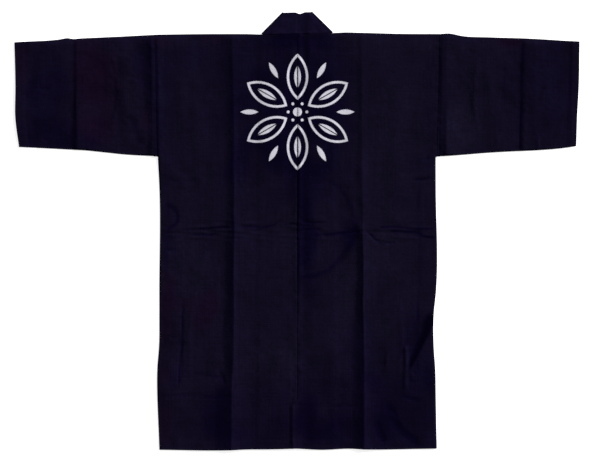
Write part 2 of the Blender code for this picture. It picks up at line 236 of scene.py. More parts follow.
def profile(shape, share, on_left):
    """A crease's height at a share of the way from its crest to the foot of a flank.

    The left flank of a facet is straight, and that of a step is steepest at its foot.
    """
    sharp = (1 - share) ** 2 * (1 + 0.8 * share)
    if shape == "rounded":
        return (1 - share**2) ** 2
    if shape == "facet":
        return np.where(on_left, 1 - share, sharp)
    if shape == "step":
        return np.where(on_left, 1 - share**2, sharp)
    return sharp


UPPER_CREASES = {
    "left storage fold": long(
        (-142.2, -200, 0, 26, 66), (-142, -150, 3), (-141.6, 20, 2.9, 25), (-141.4, 115, 2.5, 24),
        (-143, 300, 1.7, 24, 60), (-144.5, 400, 1, 22), (-144.9, 448, 0.6, 20),
    ),
    "left fold's crest": long(
        (-148, -493, 0.2, 9, 5), (-146.2, -350, 0.5, 7, 4.5), (-142.8, -290), (-142, -100, 0.5, 6),
        (-141.4, 115, 0.4), (-143, 300, 0.2, 7), (-144.8, 430, 0.05, 8),
    ),
    "right storage fold": long(
        (150.8, -493, 3.3, 24, 40), (151.2, -368, 3.4, 27), (149.9, -220, 3.3, 25),
        (148.4, -165, 3, 17), (149.4, -110, 2.9, 15), (149.4, -40), (147.6, -10, 2.6),
        (146.8, 6, 1.2, 14, 34), (146.2, 60, 0.8, 12, 32), (145.8, 200, 0.6, 11, 30),
        (145.4, 380, 0.5, 10), (145.4, 448, 0.2), shape="facet",
    ),
    "right fold's crest": long(
        (150.8, -493, 0.4, 6, 4.5), (151.2, -368, 0.5), (149.9, -220), (148.4, -165),
        (149.4, -110, 0.4), (149.2, -30), (147, 10, 0.15, 5), (146.4, 90, 0.1),
    ),
    "centre seam": long(
        (4.6, -380, 0.3, 3.4, 40), (4.6, -150, 0.4), (4.6, -110, 0.7), (4.6, 60, 0.9),
        (4.8, 160, 0.9, 3.6), (6, 448, 0.5, 4.6),
    ),
    "beside the centre seam": long(
        (26, -375, 0.35, 11, 60), (26, -150, 0.4), (26, 60, 0.7), (26, 448, 0.9, 12),
    ),
    "centre seam below the step": long((-9.6, -493, 1.1, 5, 30), (-9.6, -392)),
    "step": short(-0.9, 4, 5, (-36, -389), (20, -388), (70, -391), (131, -393)),
    "step patch": short(0.7, 4, 6, (-13, -400), (2, -400), fade=5),
    "line beside the left fold": long(
        (-132, -360, -0.45, 3, 3), (-132, -100), (-132, 120, -0.35), (-133, 430, -0.25),
    ),
    "left line": long((-97, -486, 0.45, 3, 4), (-97, 0, 0.35), (-98, 385, 0.3)),
    "line beside the seam": long(
        (-14.5, -380, 0.35, 4, 6), (-18, -100), (-21, 90, 0.3), (-21, 180, 0.2),
    ),
    "line left of the seam": long(
        (-1.9, -375, 0.5, 16, 2.7), (-1.9, -100, 0.6), (-1.9, 90), (-1.9, 200, 0.3),
    ),
    "line in the crest": long((27, 194, 0.3, 3, 3), (26, 430)),
    # Waist
    "waist 1": short(-1.9, 4.5, 6, (-264, 7), (-240, 6), (-214, 5), (-190, 8), (-148, 8)),
    "waist 2": short(-1.8, 4, 5, (-246, -6), (-205, -8), (-172, -7)),
    "waist curl": short(-1.2, 7, 8, (-300, 60), (-272, 44), (-268, 24), (-284, 8), (-302, 6)),
    "waist 3": short(-1.3, 4.5, 6, (-138, 12), (-95, 11), (-70, 11), (-54, 14), (-33, 31)),
    "waist 4": short(-1.7, 4, 5, (-34, 15), (-16, 16), (4, 16), fade=8),
    "waist 5": short(-1.6, 4, 5, (8, 20), (34, 20), (66, 21), fade=10),
    "waist 6": short(-1.3, 4, 5, (8, 4), (32, 5), (58, 5), fade=10),
    "waist 7": short(-1.8, 5, 5, (52, -6), (76, -8), (92, -5), (118, -4), (144, -4), fade=12),
    "waist knob": short(2, 5, 5, (128, 12), (158, 12), fade=8),
    "waist 8": short(-1.7, 4, 5, (150, 2), (166, -9), (176, -20), (194, -25), (226, -24)),
    "waist 9": short(-2, 4, 4.5, (182, 10), (230, 8), (270, 6), (311, 5), fade=10),
    "waist 10": short(-2.4, 4, 5, (208, 0), (246, -1), (272, -3), (284, -10), (311, -14), fade=8),
    # Left panel
    "left 1": short(-1.6, 4, 6, (-255, -146), (-258, -240), (-265, -350)),
    "left 2": short(-0.9, 5, 6, (-308, -239), (-285, -238), (-263, -239)),
    "left 3": short(-1, 5, 6, (-308, -371), (-240, -369), (-180, -373), (-139, -371)),
    "left 4": short(-1.3, 5, 7, (-245, -317), (-205, -322), (-161, -331)),
    "left 5": short(-1.4, 6, 7, (-180, -306), (-168, -326), (-160, -350)),
    "left 6": short(-0.9, 5, 6, (-308, -43), (-285, -42), (-263, -43)),
    "left 7": short(-0.7, 7, 9, (-300, 118), (-262, 112), (-214, 116)),
    "left 8": swell(0.8, 24, 30, (-226, 60), (-222, 200), (-228, 330), fade=60),
    # Right panel
    "right 1": short(-0.9, 5, 6, (311, 163), (292, 163), (277, 162)),
    "right 2": short(-1.8, 4, 5, (254, 117), (280, 118), (311, 120)),
    "right 3": short(-1, 4, 5, (272, -132), (272, -175), (273, -216)),
    "right 4": short(1.4, 5, 8, (205, -262), (202, -300), (198, -331)),
    "right 5": short(2.6, 7, 9, (245, -250), (246, -305), (245, -362)),
    "right 6": short(-1.1, 5, 6, (254, -326), (262, -336), (270, -345)),
    "right 7": short(-1.5, 5, 6, (226, -366), (252, -375), (284, -383)),
    "right 8": swell(
        -1.7, 13, 14, (203, -380), (214, -410), (226, -436), (254, -461), (280, -486), fade=30,
    ),
    "right 9": swell(-1.5, 12, 13, (175, -420), (186, -450), (200, -480), fade=24),
    "right 10": swell(0.8, 26, 30, (226, 40), (222, 180), (228, 350), fade=60),
    # Left sleeve
    "left armhole": long((-325.6, 170, 1.5, 46, 60), (-325.8, 300), (-327.4, 440, 1.4)),
    "left armhole's crest": long(
        (-325.6, 170, 1.6, 16, 50), (-325.8, 250, 1.7), (-326, 300, 2.4, 22),
        (-327.4, 440, 2.2, 24),
    ),
    "left armhole seam": long((-309.6, 168, 1.5, 7, 50), (-311.6, 300, 1.4), (-313.8, 440, 1.2)),
    "left sleeve roll": swell(1.3, 34, 34, (-374, 176), (-376, 300), (-377, 432)),
    "left sleeve pucker": swell(
        -0.9, 14, 13, (-384, 262), (-369, 246), (-358, 215), (-350, 186), fade=16,
    ),
    "left sleeve fold": long(
        (-493, 184, 2.4, 18, 60), (-493.6, 240, 2.4, 15), (-496.4, 290, 2.1, 9),
        (-494.4, 350, 1.8, 10), (-494.4, 432, 1.5, 11),
    ),
    "left sleeve 1": swell(0.8, 26, 30, (-574, 210), (-570, 300), (-576, 400)),
    "left sleeve 2": swell(-0.7, 14, 14, (-470, 236), (-440, 240), (-412, 232)),
    # Right sleeve
    "right armhole": long(
        (336.4, 168, 2.6, 11, 66), (336.6, 240, 2.2, 10, 64), (336.6, 290, 1.1, 9, 62),
        (336, 340, 0.4, 9, 60), (336, 440, 0.6, 10),
    ),
    "right armhole seam": long(
        (329, 168, 1.5, 10, 60), (331.5, 300, 1.8, 12), (338, 440, 2.3, 17), shape="step",
    ),
    "right sleeve fold": long(
        (512, 178, 2.2, 12, 70), (514, 250, 2.2, 13), (516, 300, 2.2, 15), (519, 370, 2.1, 17),
        (524, 436), shape="step",
    ),
    "right sleeve 1": short(1, 6, 9, (554, 320), (553, 298), (553, 275)),
    "right sleeve 2": short(1, 6, 8, (543, 218), (542, 200), (542, 181)),
    "right sleeve 3": short(0.8, 6, 8, (453, 222), (452, 206), (452, 192)),
    "right sleeve 4": swell(0.5, 16, 18, (401, 330), (402, 280), (400, 230)),
    "right cuff": long((617, 190, 0.4, 9, 7), (620, 300), (622, 428)),
    # More on the panels
    "left storage fold, low": long(
        (-148, -493, 3.3, 36, 56), (-147, -400, 3.4, 34), (-146, -345, 3.4, 32),
        (-142.8, -318, 3.3, 21), (-142.6, -290, 3.3, 22), (-142.4, -250, 3.4, 27),
        (-142.2, -200, 3.3, 25), (-142, -150, 0, 26), shape="facet",
    ),
    "pleat in the right fold": short(1, 4, 4, (139, -389), (133, -410), (127, -432)),
    "right 5, foot": short(1.3, 5, 4, (252, -306), (257, -322), (265, -340), fade=10),
    "right 5, arm": short(1, 5, 4, (246, -256), (240, -270), (233, -284), fade=10),
}

# The tuck at the right side seam: it slopes gently to its left, and steeply to its right.
TUCK = long(
    (312, -176, 2.4, 44, 10), (309, -190, 4.6, 44, 20), (305.5, -207, 5.9, 44, 22),
    (297.2, -230, 6.1, 44, 18), (284.5, -252, 5.5, 42, 14), (274, -274, 4.4, 36, 12),
    (262, -297, 2.7, 26, 9), (253.5, -314, 0, 16, 6),
)

# Darker colour: painted shade on the shaded side of the folds, in the troughs and along the
# seams, faint lines along the sides and sleeves, and one old tide mark. The height is how much
# darker.
DEEP_DYE_AND_SHADE_LINES = {
    "left storage fold": long(
        (-141.6, -200, 0.1, 26, 2), (-141.4, -150, 0.65), (-141, 20, 0.6, 22),
        (-140.8, 115, 0.5, 20), (-142.4, 300, 0.45, 18), (-144, 400, 0.1, 16),
    ),
    "left fold, low": long(
        (-147.4, -493, 0.5, 40, 2.5), (-146.4, -390, 0.55, 38), (-145.6, -345, 0.55, 34),
        (-142.4, -320, 0.5, 20, 2), (-142.2, -290, 0.5, 22), (-141.8, -250, 0.5, 29),
        (-141.4, -190, 0.5, 24), (-141.4, -150, 0.05), shape="step",
    ),
    "right storage fold": long(
        (151.4, -493, 0.5, 22, 2), (151.8, -400, 0.5, 28), (151.8, -330), (151, -250, 0.5, 26),
        (150.2, -200, 0.5, 24), (148.8, -165, 0.5, 18), (149.8, -110, 0.5, 15), (149.8, -30),
        (148, 0, 0.3, 14), (147, 60, 0.2, 12), (146.4, 448, 0.15, 10), shape="step",
    ),
    "left armhole": long(
        (-325.8, 168, 0.5, 14, 2), (-326.2, 250), (-326.4, 300, 0.8, 22), (-328, 440, 0.8, 24),
    ),
    "between armhole and seam": long(
        (-320, 168, 0.5, 7, 6), (-321, 300, 0.55, 7, 5), (-323, 440, 0.55, 6, 4),
    ),
    "left armhole seam": long((-312.6, 168, 0.8, 3, 9), (-314.6, 300), (-317.2, 440, 0.7)),
    "left sleeve fold": long(
        (-497, 184, 0.8, 16, 5), (-498.4, 290, 0.7, 8, 4), (-498, 432, 0.5, 8, 5),
    ),
    "right sleeve fold": long(
        (501, 178, 0.8, 2, 10), (502, 260, 0.8, 2, 11), (503, 330, 0.7, 2, 13), (508, 436),
    ),
    "right armhole": long(
        (320, 168, 0.8, 1.5, 22), (322, 300, 0.6, 1.5, 12), (323, 440, 0.6, 1.5, 16),
    ),
    "centre seam": long(
        (2.4, -378, 0.2, 1.5, 4), (2.2, -150, 0.25, 1.5, 5), (2, -120, 0.5), (2, 150),
        (3, 190, 0.4, 2), (4, 448, 0.4, 3, 6),
    ),
    "beside the seam": long(
        (1.6, -150, 0, 1.5, 46), (1.6, -100, 0.35, 1.5, 44), (1.6, -20, 0.6, 1.5, 46),
        (1.6, 60, 0.45, 1.5, 44), (1.6, 150, 0.2, 1.5, 40),
    ),
    "centre seam below the step": long((-13.5, -493, 0.7, 4, 5), (-13.5, -390, 0.6)),
    "cuff": long((613.6, 190, 0.5, 7, 3), (616, 300), (618, 428, 0.4)),
    "tide mark": long(
        (62, 122, 0, 8, 9), (80, 110, 0.35), (98, 96, 0.45, 8, 8), (113, 75, 0.6, 7),
        (122, 54, 0.4, 10, 11), (130, 29, 0.35, 10, 10), (132, 5, 0.4, 12, 12),
        (126, -18, 0.45, 14, 14), (110, -46, 0.5, 14, 12), (89, -70, 0.55, 11, 10),
        (70, -88, 0.6, 10, 9), (45, -98, 0.6, 9), (14, -103, 0.4), shape="rounded",
    ),
    "left 1": short(0.9, 3, 4, *points_of("left 1")),
    "waist 9": short(0.5, 4, 4, *points_of("waist 9"), fade=10),
    "waist 10": short(0.7, 4, 5, *points_of("waist 10"), fade=8),
    "waist 8": short(0.4, 4, 5, *points_of("waist 8")),
    "waist 7": short(0.6, 7, 8, (20, -2), (76, -8), (92, -5), (118, -4), (144, -4), fade=12),
    "waist 1": short(0.5, 4, 5, (-207, 4), (-190, 8), (-168, 10), (-148, 8), fade=10),
    "waist 2": short(0.5, 4, 5, *points_of("waist 2")),
    "waist 3": short(0.4, 7, 8, (-130, 11), (-95, 10), (-60, 11), (-40, 22)),
    "below the waist": long((-146, 40, 0.4, 8, 5), (-143, 10, 0.7, 12, 6), (-142, -30, 0.3, 10, 5)),
    "right 2": short(0.5, 4, 5, *points_of("right 2")),
    "left side line": short(
        0.35, 9, 9, (-290, 100), (-286, 20), (-292, -70), (-288, -130), fade=40,
    ),
    "right side line": short(0.35, 9, 10, (276, 140), (274, 60), (278, -60), (276, -170), fade=50),
    "right side line, low": short(0.35, 8, 8, (272, -150), (270, -250), (276, -340), fade=40),
    "right sleeve line": short(0.3, 8, 9, (470, 400), (466, 330), (472, 250), fade=40),
    "left sleeve line": short(0.12, 9, 9, (-400, 420), (-398, 330), (-404, 230), fade=40),
    "right 8": short(0.4, 9, 12, *points_of("right 8"), shape="rounded"),
    "right 9": short(0.5, 9, 11, (175, -420), (187, -452), (200, -478), shape="rounded"),
    "tuck": long(
        (253.5, -312, 0.3, 10, 3), (262, -297, 0.9, 13), (274, -274, 1.2, 16),
        (284.5, -252, 1.3, 17), (297.2, -230, 1.3, 21, 4), (305.5, -207, 1.3, 27),
        (310, -192, 1, 24), (313, -178, 0.3, 10), shape="step",
    ),
    "waist curl": short(
        0.5, 5, 13, (-300, 66), (-284, 60), (-271, 48), (-267, 30), (-276, 12), (-292, 3),
    ),
    "left 6": short(
        0.5, 4, 4, (-300, -41), (-276, -40), (-263, -46), (-260, -58), (-262, -72), fade=8,
    ),
}

# On the hidden layers, which lie on the floor.
LOWER_CREASES = {
    "left storage fold": long(
        (-148, -493, 1.3, 22, 24), (-145, 0, 1.2, 20), (-145, 448, 0.7, 12, 18),
    ),
    "right storage fold": long(
        (148, -493, 1.3, 22, 20), (148, 0, 1.2, 18, 18), (145, 448, 0.5, 12, 16),
    ),
    "waist left": short(1, 8, 10, (-306, 8), (-260, 5), (-205, 9), (-150, 6)),
    "waist left 2": short(0.7, 6, 7, (-250, -12), (-222, -14), (-190, -11)),
    "waist right": short(1, 8, 10, (150, 4), (196, 8), (250, 4), (306, 7)),
    "waist right 2": short(0.7, 6, 7, (206, -14), (240, -12), (280, -18)),
    "left 1": short(0.8, 6, 9, (-236, -170), (-242, -260), (-236, -340)),
    "left 2": short(0.6, 6, 8, (-296, -250), (-262, -246), (-228, -256)),
    "right 1": short(0.8, 7, 8, (230, -150), (236, -230), (228, -330)),
    "right 2": short(0.6, 6, 8, (196, -400), (232, -430), (270, -470)),
    "left sleeve fold": long((-482, 184, 0.5, 20, 24), (-480, 432)),
    "left sleeve": short(0.7, 9, 11, (-420, 220), (-402, 300), (-414, 400)),
    "right sleeve fold": long((534, 180, 0.5, 20, 24), (538, 434)),
    "right sleeve": short(0.7, 9, 11, (410, 210), (398, 300), (408, 390)),
    "left band": short(0.6, 8, 8, (-76, -20), (-58, -22), (-42, -18)),
    "right band": short(0.6, 8, 8, (42, -14), (60, -18), (78, -15)),
}
# Across the collar, behind the neck.
BAND_CREASES = {
    "middle": long((3, 440, -0.6, 4, 16), (3, 494, -0.8)),
    "beside the middle": long((28, 440, 1.1, 13, 50), (27, 494, 1.3)),
    "left": long((-36, 440, 0.4, 12, 14), (-34, 494, 0.5)),
}
TROUGHS = {name: crease for name, crease in UPPER_CREASES.items() if crease.knots[0].height < 0}

# Soft patches of dye: x, y, half sizes across and along, amount.
# Deeper dye in most; those below the collar, over the tuck and on the lit flank beside the left fold
# are painted shade.
DEEP_DYE_AND_SHADE_PATCHES = (
    (-30, 290, 160, 215, 0.78), (60, 250, 70, 150, 0.3), (0, 430, 90, 24, 0.6),
    (34, 115, 60, 70, 0.5), (24, -15, 26, 78, 0.75), (30, -110, 28, 90, 0.35),
    (118, 6, 24, 34, 0.4), (-69, 214, 44, 50, 0.35), (70, 214, 44, 50, 0.4),
    (-30, 152, 44, 34, 0.3), (-15, 360, 14, 60, 0.3), (-540, 330, 34, 70, 0.3),
    (-462, 224, 30, 50, 0.3), (-354, 376, 30, 60, 0.5), (300, -334, 18, 44, 0.5),
    (170, -334, 22, 26, 0.4), (-278, -334, 16, 26, 0.3), (-292, -40, 22, 60, 0.25),
    (-130, 140, 34, 80, 0.3), (-100, -440, 150, 90, 0.35), (-185, -415, 46, 80, 0.5),
    (230, -405, 260, 150, 0.5), (26, -436, 34, 76, 0.7), (95, -455, 46, 60, 0.4),
    (200, -430, 36, 50, 0.3), (262, -245, 40, 66, 0.45), (146, -240, 40, 90, 0.2),
    (-300, 290, 34, 170, 0.35), (-230, 390, 90, 50, 0.25), (290, 150, 54, 30, 0.35),
    (-560, 300, 90, 190, 0.25), (-556, 216, 76, 56, 0.5), (-470, 196, 50, 30, 0.4),
    (560, 330, 110, 160, 0.4), (315, 300, 34, 190, 0.2), (262, 70, 70, 24, 0.2),
    (108, -27, 30, 24, 0.3), (-586, 330, 24, 70, 0.35), (34, -462, 30, 26, 0.4),
    (-134, -462, 26, 26, 0.4), (400, 436, 90, 12, 0.3), (-410, 434, 50, 14, 0.3),
    (124, -4, 26, 12, 0.5),
)
RED_PATCHES = (
    (-466, 335, 42, 130, 1), (-420, 330, 44, 130, 0.45), (-458, 232, 50, 40, 0.8),
    (-338, 245, 22, 40, 0.5), (-620, 380, 20, 70, 0.5), (-303, 430, 30, 26, 0.6),
    (-191, 435, 40, 22, 0.45), (484, 432, 36, 24, 0.9), (-300, -120, 34, 50, 1),
    (-270, -160, 30, 24, 0.7), (-303, -210, 30, 60, 0.6), (-226, -165, 24, 30, 0.6),
    (-193, -160, 22, 50, 1), (-215, -205, 24, 24, 0.7), (-303, -320, 22, 40, 0.5),
    (-303, -430, 30, 70, 0.55), (0, -385, 200, 90, 0.2), (300, 330, 26, 120, 0.25),
)
PALE_PATCHES = (
    (371, 240, 50, 70, 0.55), (230, 190, 90, 180, 0.25), (-240, -60, 60, 150, 0.35),
    (112, -150, 26, 70, 0.5), (-22, -20, 40, 60, 0.35), (-45, -290, 70, 50, 0.4),
    (200, -70, 70, 60, 0.3), (-280, 425, 60, 20, 0.2), (175, 430, 130, 16, 0.2),
    (400, 425, 60, 18, 0.15), (292, 420, 40, 26, 0.5), (206, 44, 36, 34, 0.35),
    (188, -212, 26, 34, 0.4), (-10, -300, 16, 90, 0.4), (146.5, 10, 6, 4, 1), (194, -14, 4, 4, 1),
    (191, -4, 3, 3, 0.9), (-374, 310, 22, 56, 0.4), (-301, -128, 18, 40, 0.5),
    (206, -14, 40, 24, 0.3), (-76, 436, 24, 16, 0.4), (92, 156, 24, 30, 0.3),
)


# Random waves: height, shortest and longest wave, and how far they are drawn out along y.
SWELLS = (0.75, 90, 240, 1.5)
CRUMPLES = (0.18, 26, 60, 1.3)
FINE_CRUMPLES = (0.05, 11, 24)
PATCHINESS = (0.55, 160, 420)  # of the crumples
MOST_CRUMPLED = 1.6
GATHERS = (0.30, 10, 26)  # at the waist
LOWER_BUMPS = (1, 60, 160)
LOWER_BUMP_START = 0.6  # only what is above this shows, times the next number
LOWER_BUMP_SCALE = 0.25
BAND_BUMPS = (0.25, 25, 70)
PUCKERS = (0.15, 11, 26)  # beside a seam
PATCH_WANDER = (0.10, 60, 240)  # of the outlines of patches of dye, as a share
# How far a crease strays sideways, and by what share its height varies. Creases that run
# out do both more.
SHORT_STRAY = (0.7, 30, 120)
SHORT_VARY = (0.16, 18, 90)
LONG_STRAY = (0.4, 70, 260)
LONG_VARY = (0.08, 60, 240)

SAMPLE_SPACING = 1.2  # along a crease
SEED_STEP = 10  # from one crease, or kind of patch, to the next
BATCH = 2000  # points worked on at once, to save memory
WAIST_Y = 2.0
WAIST_HALF_HEIGHT = 24.0
WAIST_OUT = 325.0  # where the gathers end
WAIST_FADE = 20  # over this width
GATHERS_X = 0.45  # a millimetre across counts for this much in the gathers
PUCKER_REACH = 9.0
BASE_RELIEF = 0.6  # where the upper layer's smooth parts lie
SIDE_FLAT = 4.0  # how near to an edge the relief fades
TOP_FLAT = 13.0
LOWER_FLAT = 8.0
SOFTNESS = 0.25  # how softly the low places level out
SETTLING = 0.9  # times the softness: how far it all sinks then, less than the gap
WELT_SLOPE = 4  # beside the cloth that lies beneath a seam
NECK_RISE = 1.2  # how far the back climbs to the collar
NECK_SLOPE = 14.0
BAND_SLOPE = 13.0  # beside the hidden band
GAP_DIP = 0.55  # how far the back sinks between the two bands
GAP_SLOPE = 14.0
PATCH_REACH = 1.3  # how many of its half sizes a patch of dye reaches
PATCH_FADE = 1.1  # and over how many it fades
# On each layer, how strong the patches are, how far they are moved, and their first seed.
LAYER_DYE = {UPPER: (1.0, 0.0, 300), LOWER: (0.6, 100.0, 700)}
RUB_REACH = 3.0  # of the wear along an edge
CREST_WEAR = 0.05  # for each millimetre of a crest's height
HIGHEST_CREST = 4
TROUGH_PAINTED_SHADE = 0.4  # painted shade in a trough, for each millimetre of its depth
DEEPEST_TROUGH = 2


def ripple(kind, x, y, seed, waves=26):
    """A smooth random relief of waves with mixed lengths and directions."""
    height, shortest, longest, stretch = (*kind, 1)[:4]
    draw = np.random.default_rng(seed)
    total = np.zeros(np.broadcast(x, y).shape)
    for _ in range(waves):
        length = shortest * (longest / shortest) ** draw.random()
        angle = draw.uniform(0, 2 * math.pi)
        phase = draw.uniform(0, 2 * math.pi)
        turn = 2 * math.pi / length
        total += np.cos(turn * (x * math.cos(angle) + y / stretch * math.sin(angle)) + phase)
    return height * (total / math.sqrt(waves / 2))


def crease_line(crease, seed):
    """Samples along a crease: x, y, height, left and right widths, a little uneven.

    The other two results are the directions along it and to its left.
    """
    rows = np.array(crease.knots, float)
    place = distance_along(rows[:, :2])
    length = place[-1]
    at = np.linspace(0, length, max(int(length / SAMPLE_SPACING), 6))
    table = np.column_stack([place, rows])
    line = np.column_stack([curve(table, at, column) for column in range(1, 6)])
    run = np.gradient(line[:, :2], axis=0)
    run /= np.hypot(run[:, 0], run[:, 1])[:, None]
    left = np.column_stack([-run[:, 1], run[:, 0]])
    stray, vary = (SHORT_STRAY, SHORT_VARY) if crease.fade else (LONG_STRAY, LONG_VARY)
    line[:, :2] += left * ripple(stray, at, 0, seed, waves=8)[:, None]
    line[:, 2] *= 1 + ripple(vary, at, 0, seed + 1, waves=8)
    if crease.fade:
        fade = min(crease.fade, length / 2)
        line[:, 2] *= ease(at / fade) * ease((length - at) / fade)
    return line, run, left


def crease_relief(crease, x, y, seed):
    """How much a crease raises the points (x, y)."""
    line, run, left = crease_line(crease, seed)
    reach = line[:, 3:].max()
    low = line[:, :2].min(axis=0) - reach
    high = line[:, :2].max(axis=0) + reach
    relief = np.zeros(x.shape)
    near = (x > low[0]) & (x < high[0]) & (y > low[1]) & (y < high[1])
    places = np.column_stack([x[near], y[near]])
    raised = np.zeros(len(places))
    for start in range(0, len(places), BATCH):
        some = places[start : start + BATCH]
        offset = some[:, None, :] - line[None, :, :2]
        nearest = (offset**2).sum(axis=2).argmin(axis=1)
        offset = offset[np.arange(len(some)), nearest]
        across = (offset * left[nearest]).sum(axis=1)
        beyond = np.maximum(np.abs((offset * run[nearest]).sum(axis=1)) - SAMPLE_SPACING, 0)
        width = np.where(across > 0, line[nearest, 3], line[nearest, 4])
        share = np.clip(np.hypot(across, beyond) / width, 0, 1)
        height = line[nearest, 2] * profile(crease.shape, share, across > 0)
        raised[start : start + BATCH] = height
    relief[near] = raised
    return relief


def creases_relief(creases, x, y, seed):
    """How much all the creases of a table raise the points (x, y)."""
    return sum(
        crease_relief(crease, x, y, seed + SEED_STEP * number)
        for number, crease in enumerate(creases.values())
    )


def rumple(x, y, seed):
    """Long swells, then crumples that come in patches, and gathers along the waist."""
    patchy = np.clip(PATCHINESS[0] + ripple(PATCHINESS, x, y, seed + 3), 0, MOST_CRUMPLED)
    crumples = ripple(CRUMPLES, x, y, seed + 1) + ripple(FINE_CRUMPLES, x, y, seed + 2)
    waist = np.exp(-(((y - WAIST_Y) / WAIST_HALF_HEIGHT) ** 2))
    waist = waist * ease((WAIST_OUT - np.abs(x)) / WAIST_FADE)
    gathers = waist * ripple(GATHERS, GATHERS_X * x, y, seed + 4)
    return ripple(SWELLS, x, y, seed) + crumples * patchy + gathers


def lower_rise(x, y):
    """How far the lower layer stands off the floor. Most of it lies flat."""
    bumps = np.clip(ripple(LOWER_BUMPS, x, y, seed=77) - LOWER_BUMP_START, 0, None)
    creases = np.maximum(creases_relief(LOWER_CREASES, x, y, seed=900), 0)
    return creases + LOWER_BUMP_SCALE * bumps


# Points of the coat seen from above, with what the layers' heights depend on: distances to
# the folded or sewn sides (edge), to the fold along the top, to the hem or cuff, to the
# nearest seam between two pieces, and to the seam where this piece lies on its neighbour's
# allowance (over).
Spot = namedtuple("Spot", "x y edge top hem seam over")


def hem_extra(spot, extra):
    return extra * (1 - ease((spot.hem - HEM_DEPTH) / HEM_STEP))


def pucker(spot, seed):
    """Small gathers beside a seam."""
    return np.exp(-spot.seam / PUCKER_REACH) * ripple(PUCKERS, spot.x, spot.y, seed, waves=20)


def upper_layer(spot, support):
    """The height of the upper layer's lower face, lying on what supports it."""
    x, y = spot.x, spot.y
    inside = ease(spot.edge / SIDE_FLAT) * ease(spot.top / TOP_FLAT)
    loft = LOFT * ease(np.minimum(spot.edge, spot.top) / LOFT_WIDTH)
    relief = creases_relief(UPPER_CREASES, x, y, seed=100) + rumple(x, y, seed=20)
    relief += pucker(spot, seed=40) + BASE_RELIEF
    lifted = loft + relief * inside + crease_relief(TUCK, x, y, seed=60)
    welt = ALLOWANCE * ease((ALLOWANCE_REACH[-1] + WELT_SLOPE - spot.over) / WELT_SLOPE)
    return support + GAP + soft_floor(lifted) + welt


def soft_floor(height):
    """Lets nothing sink through the layer below: no height ends up as low as -GAP."""
    level = (height + np.sqrt(height * height + 4 * SOFTNESS**2)) / 2
    return level - SOFTNESS * SETTLING


def body_spot(side, out, y):
    beyond = np.maximum(y - UNDERARM_Y, 0)
    edge = np.hypot(cut(SIDE, side, np.minimum(y, UNDERARM_Y)) - out, beyond)
    armhole = np.abs(cut(ARMHOLE, side, y) - out)
    collar = np.maximum(side * NECK[side][0] - out, 0)
    top = np.hypot(np.maximum(cut(SHOULDER, side, out) - y, 0), collar)
    middle = np.abs(out - seam_out(side, y))
    seam = np.minimum(middle, np.where(y > UNDERARM_Y, armhole, edge))
    over = middle if side == RIGHT else np.full(out.shape, FAR)
    return Spot(side * out, y, edge, top, y - cut(HEM, side, out), seam, over)


def body_support(side, spot):
    """What the back lies on: the fronts, the collar beside them, and the gap between.

    It also climbs a little to its seam with the collar.
    """
    out = side * spot.x
    sewn = band_edge(side, spot.y)
    on_band = (BAND_THICK - THICK) * (1 - ease((out - sewn) / BAND_SLOPE))
    off_band = GAP_DIP * ease((sewn - BAND_WIDTH - out) / GAP_SLOPE)
    near_neck = 1 - ease((neck_line(spot.x) - spot.y) / NECK_SLOPE)
    near_neck = near_neck * ease((side * NECK[side][0] - out) / LOWER_FLAT)
    height = THICK + on_band - off_band + hem_extra(spot, HEM_EXTRA)
    return height + lower_rise(spot.x, spot.y) + NECK_RISE * near_neck


def patches(table, x, y, seed):
    """The sum of soft patches whose outlines wander."""
    wander = ripple(PATCH_WANDER, x, y, seed)
    total = np.zeros(x.shape)
    for patch_x, patch_y, across, along, amount in table:
        away = np.hypot((x - patch_x) / across, (y - patch_y) / along)
        total += amount * ease((PATCH_REACH - away + wander) / PATCH_FADE)
    return np.clip(total, 0, 1)


def dye_and_shade_of(spot, layer):
    """Depth of dye with painted shade in the creases, redness, and wear or fading at each point."""
    x, y = spot.x, spot.y
    strength, shift, seed = LAYER_DYE[layer]
    deep_and_shade, red, pale = (
        strength * patches(table, x + shift, y, seed + SEED_STEP * number)
        for number, table in enumerate((DEEP_DYE_AND_SHADE_PATCHES, RED_PATCHES, PALE_PATCHES))
    )
    border = np.minimum(np.minimum(spot.edge, spot.top), spot.hem)
    rubbed = np.exp(-np.maximum(border, 0) / RUB_REACH)
    if layer == UPPER:
        crests = np.clip(creases_relief(UPPER_CREASES, x, y, seed=100), 0, HIGHEST_CREST)
        pale += CREST_WEAR * crests
        # Painted shade: darker in the troughs and on the shaded side of the folds, with the tide
        # mark and faint lines.
        troughs = np.clip(-creases_relief(TROUGHS, x, y, seed=100), 0, DEEPEST_TROUGH)
        lines = creases_relief(DEEP_DYE_AND_SHADE_LINES, x, y, seed=700)
        deep_and_shade = np.clip(deep_and_shade + TROUGH_PAINTED_SHADE * troughs + lines, 0, 1)
    return together(deep_and_shade, red, np.clip((pale + rubbed) / 2, 0, 1))


# A grid of cloth: the points of its middle, its thickness there, where they are on the
# uncut cloth, their dye with painted shade, and their numbers in the mesh.
Layer = namedtuple("Layer", "points thickness cloth dye numbers")


def part(layer, index):
    return Layer(*(values[index] for values in layer))


